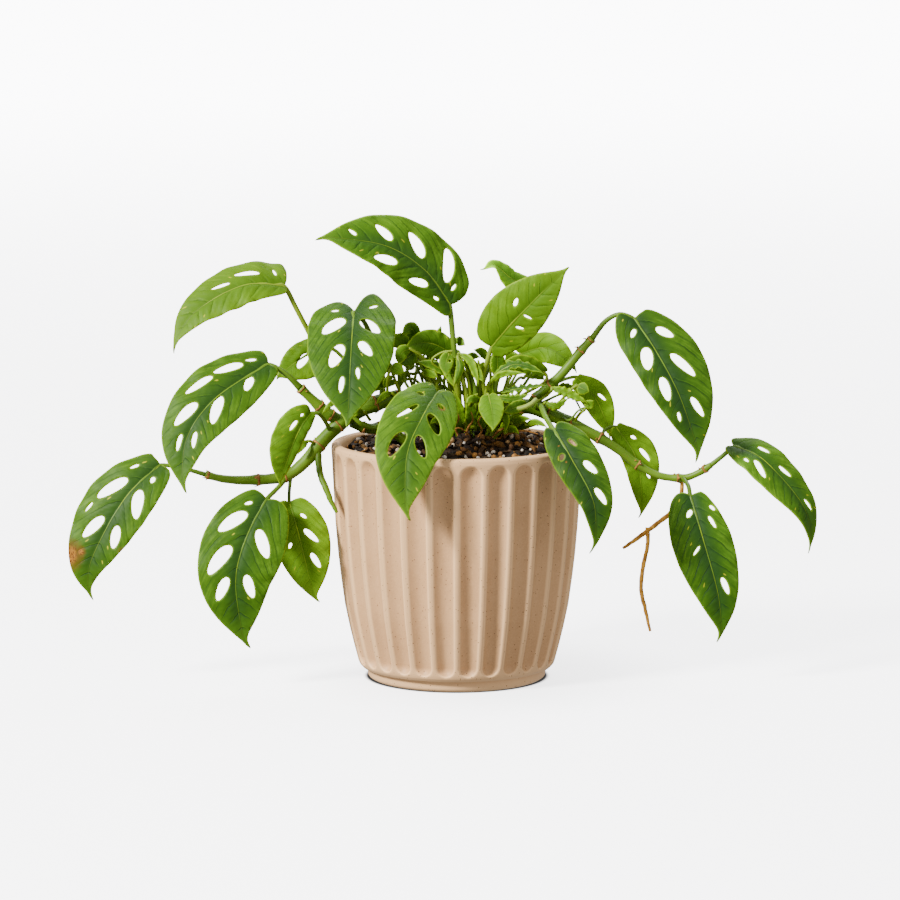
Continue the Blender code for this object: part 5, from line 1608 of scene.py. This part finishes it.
def floor_surface():
    """Glowing pale floor, brighter farther out, with a painted dark shadow line right under the foot and a
    soft painted shadow around it that reaches further to the right.
    """
    paint = Surface("floor", Roughness=0.8, Specular_IOR_Level=0.0, Emission_Strength=1.0)
    across, deep, _ = paint.parts(paint.place())
    near = paint.away(across, deep)
    wide = paint.away(paint.minus(across, 0.022), deep)
    glow = paint.mix(paint.step(near, 0.4, 6.0), (4.3, 4.3, 4.4), (10.5, 10.5, 10.7))
    # Painted shadow: black right under the foot, then a soft painted shadow shifted to the right
    painted_contact_shadow = paint.step(near, FOOT_RADIUS * MM, 0.0602)
    shade = paint.times(painted_contact_shadow, paint.step(wide, 0.045, 0.150, 0.72, 1.0))
    glow = paint.mix(shade, (0.05, 0.05, 0.05), glow)
    paint.plug(paint.shader.inputs["Emission Color"], glow)
    colour = paint.mix(painted_contact_shadow, (0.01, 0.01, 0.01), (0.82, 0.82, 0.83))
    paint.plug(paint.shader.inputs["Base Color"], colour)
    return paint.material


def studio():
    """Wide pale floor, soft lights and the camera."""
    corners = [(-FLOOR, -FLOOR), (FLOOR, -FLOOR), (FLOOR, FLOOR), (-FLOOR, FLOOR)]
    mesh = bpy.data.meshes.new("floor")
    mesh.from_pydata([(*corner, 0.0) for corner in corners], [], [(0, 1, 2, 3)])
    mesh.materials.append(floor_surface())
    floor = bpy.data.objects.new("floor", mesh)
    floor.visible_diffuse = False
    floor.visible_glossy = False
    bpy.context.scene.collection.objects.link(floor)
    world = bpy.data.worlds.new("studio")
    world.use_nodes = True
    sky = world.node_tree.nodes["Background"]
    sky.inputs["Color"].default_value = (1.0, 1.0, 1.0, 1.0)
    sky.inputs["Strength"].default_value = SKY
    bpy.context.scene.world = world
    for name, row in LIGHTS.items():
        area_light(name, *row)
    camera = bpy.data.objects.new("camera", bpy.data.cameras.new("camera"))
    camera.data.sensor_width = SENSOR
    camera.data.lens = FOCAL
    camera.data.clip_end = 100.0
    pointed(camera, [value * MM for value in EYE], [value * MM for value in AIM])
    bpy.context.scene.camera = camera


def main():
    """Build every piece around the frame."""
    stem, stalk, yellow, pale = (stem_surface(name, *look) for name, look in STEM_LOOKS.items())
    husk = husk_surface()
    pot(clay_surface())
    bark = crumb_surface("bark", BARK, 0.8, 420.0)
    pebble = crumb_surface("stone", STONE, 0.75, 500.0)
    white = crumb_surface("grain", GRAIN_COLOURS, 0.85, 600.0)
    soil(earth_surface(), bark, pebble, white)
    leaves(stalk, yellow)
    vines(stem, husk)
    roots({"stem": stem, "root": root_surface()})
    rootstock(stem)
    fan(random.Random(SEED + 2), stalk, yellow, husk)
    shoots({"stalk": stalk, "yellow": yellow, "pale": pale, "husk": husk})
    skins = []
    for k, share in enumerate(SMALL_SHARES):
        look = leaf_look(share, SMALL_PAINTED_LIGHT, rib=SMALL_RIB)
        top = leaf_surface("small_top_" + str(k), look)
        skins.append([top, leaf_surface("small_under_" + str(k), look, True)])
    for node in TUFTS:
        thicket(node, skins, yellow)
    studio()


main()
